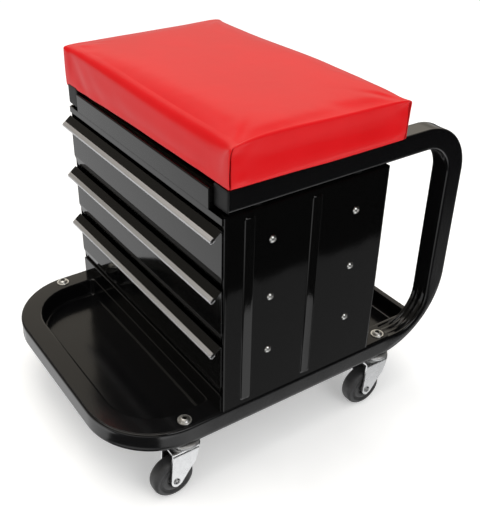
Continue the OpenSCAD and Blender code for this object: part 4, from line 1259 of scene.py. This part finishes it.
# Parcel folds: front and back covers wrap round each corner, the side cover is tucked in behind them
def foldCorners(obj):
    s = cushionSettings
    modify(obj, "SUBSURF", levels=2, render_levels=2)
    applyAll(obj)
    cutForFolds(obj)
    co = np.array([v.co for v in obj.data.vertices]) / mm
    x, y, z = co[:, 0], co[:, 1], co[:, 2]
    top = edgeHeight(x, y)
    onSide = smoothStep(np.abs(x), s["halfX"] - 3.5, s["halfX"] - 1.0)
    inHeight = smoothStep(z, s["bottom"] - 1, s["bottom"] + 3) * (1 - smoothStep(z - top, -4.5, -0.8))
    line = np.interp(z, *zip(*s["foldLine"]))
    inside = np.zeros(len(co))
    # The side cover is drawn in a little at half its height and bulges over the rail
    hollow = np.exp(-((z - 404) / 9) ** 2) - 0.45 * np.exp(-((z - 384) / 6) ** 2)
    awayFromEnds = smoothStep(np.minimum(y - s["front"], s["back"] - y), 6, 40)
    x -= np.sign(x) * onSide * s["hollow"] * hollow * awayFromEnds
    # The fold at the back is shallower; its corner leans in towards the foot
    lean = s["backLean"] * np.clip((420 - z) / 44, 0, 1)
    for end, heading, deep in ((s["front"], 1, 1.0), (s["back"] - lean, -1, 0.5)):
        along = (y - end) * heading - line
        beyond = np.clip(along, 0, None)
        wide = s["grooveWidth"]
        groove = smoothStep(along, 0.0, 0.8) * (1 - smoothStep(along, wide - 0.8, wide))
        tuck = smoothStep(along, 0.0, 0.8) * np.exp(-beyond / s["tuckReach"])
        step = deep * (s["grooveDepth"] * groove + s["tuckDepth"] * tuck)
        # Band just past the fold line, which the vinyl material darkens as painted shade
        fold = smoothStep(along, 0.0, 0.5) * (1 - smoothStep(along, 1.6, 3.0))
        inside = np.maximum(inside, deep * onSide * inHeight * fold)
        pocket = s["pocket"] * np.exp(-((along - 9) / 8) ** 2 - ((z - s["pocketHeight"]) / 7) ** 2)
        heel = s["heel"] * np.exp(-((along - 13) / 9) ** 2 - ((z - 387) / 6) ** 2)
        lip = s["lipRise"] * np.exp(-((along + 0.7) / 1.1) ** 2)
        x -= np.sign(x) * onSide * inHeight * (step + pocket - heel - lip)
    # Shallow pulls run down from the corners across the front and the back
    for end, heading in ((s["front"], -1), (s["back"], 1)):
        onFace = smoothStep((y - end) * heading, -2.5, 0.5)
        for side in (-1, 1):
            across = s["halfX"] - side * x
            for start, slope, width, depth in s["pulls"]:
                pull = across - start - slope * (top - z)
                y -= heading * onFace * depth * np.exp(-(pull / width) ** 2)
    obj.data.vertices.foreach_set("co", (np.stack([x, y, z], 1) * mm).ravel())
    # Painted shade: 1 inside the folds, where no light gets in; the vinyl material darkens there
    shadow = obj.data.attributes.new("foldShade", "FLOAT", "POINT")
    shadow.data.foreach_set("value", inside)


def makeCushion():
    obj, rows = makeCushionShell()
    inflateCushion(obj, rows)
    foldCorners(obj)
    shade(obj, 60.0)
    place(obj, "cart", redVinyl, "seat_vinyl", "seat_cushion")


makeCushion()
print("cushion made")


# CAD pieces that keep their shape get their finish and slightly broken edges

keptFinishes = {
    "back_panel": cabinetEnamel, "cabinet_floor": cabinetEnamel, "cabinet_top": cabinetEnamel,
    "slide_rails_left": zincSlides, "slide_rails_right": zincSlides, "slide_nuts": zincFixings,
    "rail_spacers": plugPlastic, "rail_screws": zincFixings, "rail_nuts": zincFixings,
    "seat_crossbars": frameEnamel, "seat_screws": zincFixings, "seat_board": seatPlywood,
    "caster_balls": nickelPlate, "caster_nuts": zincFixings, "top_drawer_runners": zincSlides,
    "middle_drawer_runners": zincSlides, "bottom_drawer_runners": zincSlides,
}
brokenEdge = 0.25
for name, finish in keptFinishes.items():
    node = nodes[name]
    node.data.materials.clear()
    node.data.materials.append(finish)
    if name != "caster_balls":
        modify(node, "WELD", merge_threshold=0.001 * mm)
        modify(node, "BEVEL", width=brokenEdge * mm, segments=2, limit_method="ANGLE",
               angle_limit=math.radians(50), use_clamp_overlap=True)
        modify(node, "WEIGHTED_NORMAL", keep_sharp=True)


# Floor, light and camera

floorSettings = {"size": 6.0, "colour": "#f8f8f7", "glow": 0.3}


def makeFloor():
    half = floorSettings["size"] / 2
    points = [(-half, -half, 0), (half, -half, 0), (half, half, 0), (-half, half, 0)]
    obj = makeObject("studioFloor", points, [(0, 1, 2, 3)], 1.0)
    material, tree, shader, at = newMaterial("paleFloor", floorSettings["colour"], 0.0, 0.9, 1.3)
    speck = addNode(tree, "ShaderNodeTexNoise", {"Scale": 1 / 0.05, "Detail": 4.0}, Vector=at)
    tone = addNode(tree, "ShaderNodeValToRGB",
                   {"stops": [(0.3, linear("#f4f4f3")), (0.7, linear("#f9f9f8"))]},
                   Fac=speck.outputs["Fac"])
    tree.links.new(tone.outputs["Color"], shader.inputs["Base Color"])
    shader.inputs["Emission Color"].default_value = (1, 1, 1, 1)
    shader.inputs["Emission Strength"].default_value = floorSettings["glow"]
    obj.data.materials.append(material)
    obj.visible_glossy = False


makeFloor()

lightSettings = {
    "sky": 0.85, "horizon": 0.3,    # even light: from above, and level with the cart and below
    # Brightness of the room in reflections, and the directions in which its parts begin
    "mirrored": {
        "white": 0.86, "grey": 0.19, "black": 0.015, "close": 1.35, "wall": (0.5, 1.55), "aboveWall": 0.42,
        "wallColour": "#fff6e6", "frontWall": 0.2, "turn": 0.6, "paperEdge": 0.84, "frontEdge": 0.79,
        "closeEdge": 1.2, "gear": (0.76, -0.65), "gearEdge": 0.45,
    },
    # name: (place, target, width, height, watts, colour, share that shows as a highlight)
    "lamps": {
        "topSoftbox": ((-0.3, -0.2, 1.9), (0.0, 0.0, 0.35), 1.6, 1.6, 14.6, "#fffaf2", 0.5),
        "rightSoftbox": ((1.9, 0.1, 1.3), (0.0, 0.0, 0.3), 1.2, 1.2, 10.0, "#ffffff", 0.35),
        "frontSoftbox": ((0.5, -1.9, 1.0), (0.0, 0.0, 0.2), 1.2, 1.0, 1.2, "#ffffff", 0.35),
    },
}


# The studio as polished enamel mirrors it: white paper in front, at the left and close by,
# and a dark room at the right
def makeWorld():
    w = lightSettings["mirrored"]
    soft = 0.03    # half the width of most borders, as a slope
    world = bpy.data.worlds.new("studio")
    scene.world = world
    world.use_nodes = True
    world.cycles.sampling_method = "NONE"    # each kind of ray looks the room up itself
    tree = world.node_tree
    tree.nodes.clear()
    direction = addNode(tree, "ShaderNodeTexCoord").outputs["Generated"]
    axes = addNode(tree, "ShaderNodeSeparateXYZ", None, Vector=direction).outputs
    values = {"x": axes["X"], "y": axes["Y"], "z": axes["Z"]}
    # Each row names a value made from earlier ones by sums, a slope between two limits, or a mix
    rows = [
        ("ahead", "MAXIMUM", "x", 0.001),
        ("turn", "DIVIDE", "y", "ahead"),
        ("down", "MULTIPLY", "z", -1.0),
        ("fall", "DIVIDE", "down", "ahead"),
        # Right hand floor: bright towards the front, grey towards the back, cut off at the paper's edge
        ("tone", "SLOPE", "turn", w["turn"] - soft, w["turn"] + soft, w["white"], w["grey"]),
        ("edge", "SLOPE", "turn", w["turn"] - soft, w["turn"] + soft, w["frontEdge"], w["paperEdge"]),
        ("pastEdge", "SUBTRACT", "fall", "edge"),
        ("paper", "SLOPE", "pastEdge", -0.004, 0.004, w["black"], 1.0),
        ("paperLight", "MULTIPLY", "paper", "tone"),
        ("closeFloor", "SLOPE", "fall", w["closeEdge"] - soft, w["closeEdge"] + soft, 0.0, 1.0),
        ("closeFront", "SLOPE", "turn", 2.0, 1.6, 0.0, w["close"]),
        ("closeLight", "MULTIPLY", "closeFloor", "closeFront"),
        ("right", "MAXIMUM", "paperLight", "closeLight"),
        # Left and front: white floor below the horizon, and above it a wall with a bright band
        ("wallFoot", "SLOPE", "z", 0.24, 0.46, *w["wall"]),
        ("wallHead", "SLOPE", "z", 0.46, 0.54, 1.0, w["aboveWall"]),
        ("backWall", "MULTIPLY", "wallFoot", "wallHead"),
        ("toBack", "SLOPE", "y", -0.1, 0.1, 0.0, 1.0),
        ("wall", "MIX", "toBack", w["frontWall"], "backWall"),
        ("low", "SLOPE", "z", 0.1, -0.12, 0.0, 1.0),
        ("leftFloor", "MIX", "low", "wall", w["white"]),
        # Behind the left side the floor is dark up to the horizon
        ("behindSide", "SLOPE", "y", 0.0, 0.12, 0.0, 0.93),
        ("behindFloor", "SLOPE", "z", -0.02, -0.12, 0.0, 1.0),
        ("behind", "MULTIPLY", "behindSide", "behindFloor"),
        ("leftShaded", "MIX", "behind", "leftFloor", 0.0),
        # Steeply below and towards the front right corner stands dark studio gear
        ("xx", "MULTIPLY", "x", "x"),
        ("yy", "MULTIPLY", "y", "y"),
        ("xxyy", "ADD", "xx", "yy"),
        ("level", "SQRT", "xxyy", 0.0),
        ("gearX", "MULTIPLY", "x", w["gear"][0]),
        ("gearY", "MULTIPLY", "y", w["gear"][1]),
        ("gearXY", "ADD", "gearX", "gearY"),
        ("toGear", "DIVIDE", "gearXY", "level"),
        ("steepness", "DIVIDE", "down", "level"),
        ("steep", "SLOPE", "steepness", 0.6, 0.74, 0.0, 0.95),
        ("gearSide", "SLOPE", "toGear", w["gearEdge"] - 0.04, w["gearEdge"] + 0.04, 0.0, 1.0),
        ("gear", "MULTIPLY", "gearSide", "steep"),
        ("left", "MIX", "gear", "leftShaded", 0.0),
        ("leftSide", "SLOPE", "x", 0.12, -0.1, 0.0, 1.0),
        ("frontSide", "SLOPE", "turn", -0.35, -0.5, 0.0, 1.0),
        ("side", "MAXIMUM", "leftSide", "frontSide"),
        ("room", "MIX", "side", "right", "left"),
        ("overhead", "SLOPE", "z", -0.1, 0.9, lightSettings["horizon"], lightSettings["sky"]),
    ]
    for name, kind, *terms in rows:
        terms = [values.get(term, term) for term in terms]
        if kind == "SLOPE":
            limits = dict(zip(("From Min", "From Max", "To Min", "To Max"), terms[1:]))
            node = addNode(tree, "ShaderNodeMapRange", limits, Value=terms[0])
        elif kind == "MIX":
            node = addNode(tree, "ShaderNodeMix", None, _0=terms[0], _2=terms[1], _3=terms[2])
        else:
            node = addNode(tree, "ShaderNodeMath", {"operation": kind}, _0=terms[0], _1=terms[1])
        values[name] = node.outputs[0]
    white = (1.0, 1.0, 1.0, 1.0)
    path = addNode(tree, "ShaderNodeLightPath").outputs
    paint = addNode(tree, "ShaderNodeMix", {"data_type": "RGBA"}, _0=values["low"],
                    _6=linear(w["wallColour"]), _7=white).outputs[2]
    even = addNode(tree, "ShaderNodeBackground", None, Color=white, Strength=values["overhead"])
    mirrored = addNode(tree, "ShaderNodeBackground", None, Color=paint, Strength=values["room"])
    seen = addNode(tree, "ShaderNodeBackground", None, Color=white, Strength=1.05)
    mixed = addNode(tree, "ShaderNodeMixShader", None, _0=path["Is Glossy Ray"],
                    _1=even.outputs[0], _2=mirrored.outputs[0])
    final = addNode(tree, "ShaderNodeMixShader", None, _0=path["Is Camera Ray"], _1=mixed.outputs[0],
                    _2=seen.outputs[0])
    addNode(tree, "ShaderNodeOutputWorld", None, Surface=final.outputs[0])


def makeLamps():
    for name, (at, target, width, height, watts, colour, gloss) in lightSettings["lamps"].items():
        data = bpy.data.lights.new(name, "AREA")
        data.shape, data.size, data.size_y = "RECTANGLE", width, height
        data.energy, data.color = watts, linear(colour)[:3]
        data.specular_factor = gloss
        lamp = bpy.data.objects.new(name, data)
        lamp.location = at
        lamp.rotation_euler = (Vector(target) - Vector(at)).to_track_quat("-Z", "Y").to_euler()
        scene.collection.objects.link(lamp)


# The photo's view: place in metres, angles in degrees
cameraSettings = {"place": (0.7289, -0.4771, 0.7234), "azimuth": 56.805, "elevation": 32.275, "roll": 0.132,
                  "lens": 55.87, "shiftX": 0.0483}


def makeCamera():
    s = cameraSettings
    data = bpy.data.cameras.new("photoView")
    data.sensor_width, data.lens, data.shift_x = 36.0, s["lens"], s["shiftX"]
    data.clip_start, data.clip_end = 0.01, 50.0
    camera = bpy.data.objects.new("photoView", data)
    az, el, roll = (math.radians(s[k]) for k in ("azimuth", "elevation", "roll"))
    right = Vector((math.cos(az), math.sin(az), 0))
    ahead = Vector((-math.sin(az) * math.cos(el), math.cos(az) * math.cos(el), -math.sin(el)))
    up = right.cross(ahead)
    turnedRight = right * math.cos(roll) + up * math.sin(roll)
    turnedUp = up * math.cos(roll) - right * math.sin(roll)
    basis = Matrix((turnedRight, turnedUp, -ahead)).transposed().to_4x4()
    camera.matrix_world = Matrix.Translation(s["place"]) @ basis
    scene.collection.objects.link(camera)
    scene.camera = camera


makeWorld()
makeLamps()
makeCamera()
scene.view_settings.view_transform = "Standard"
print("floor, light and camera made")
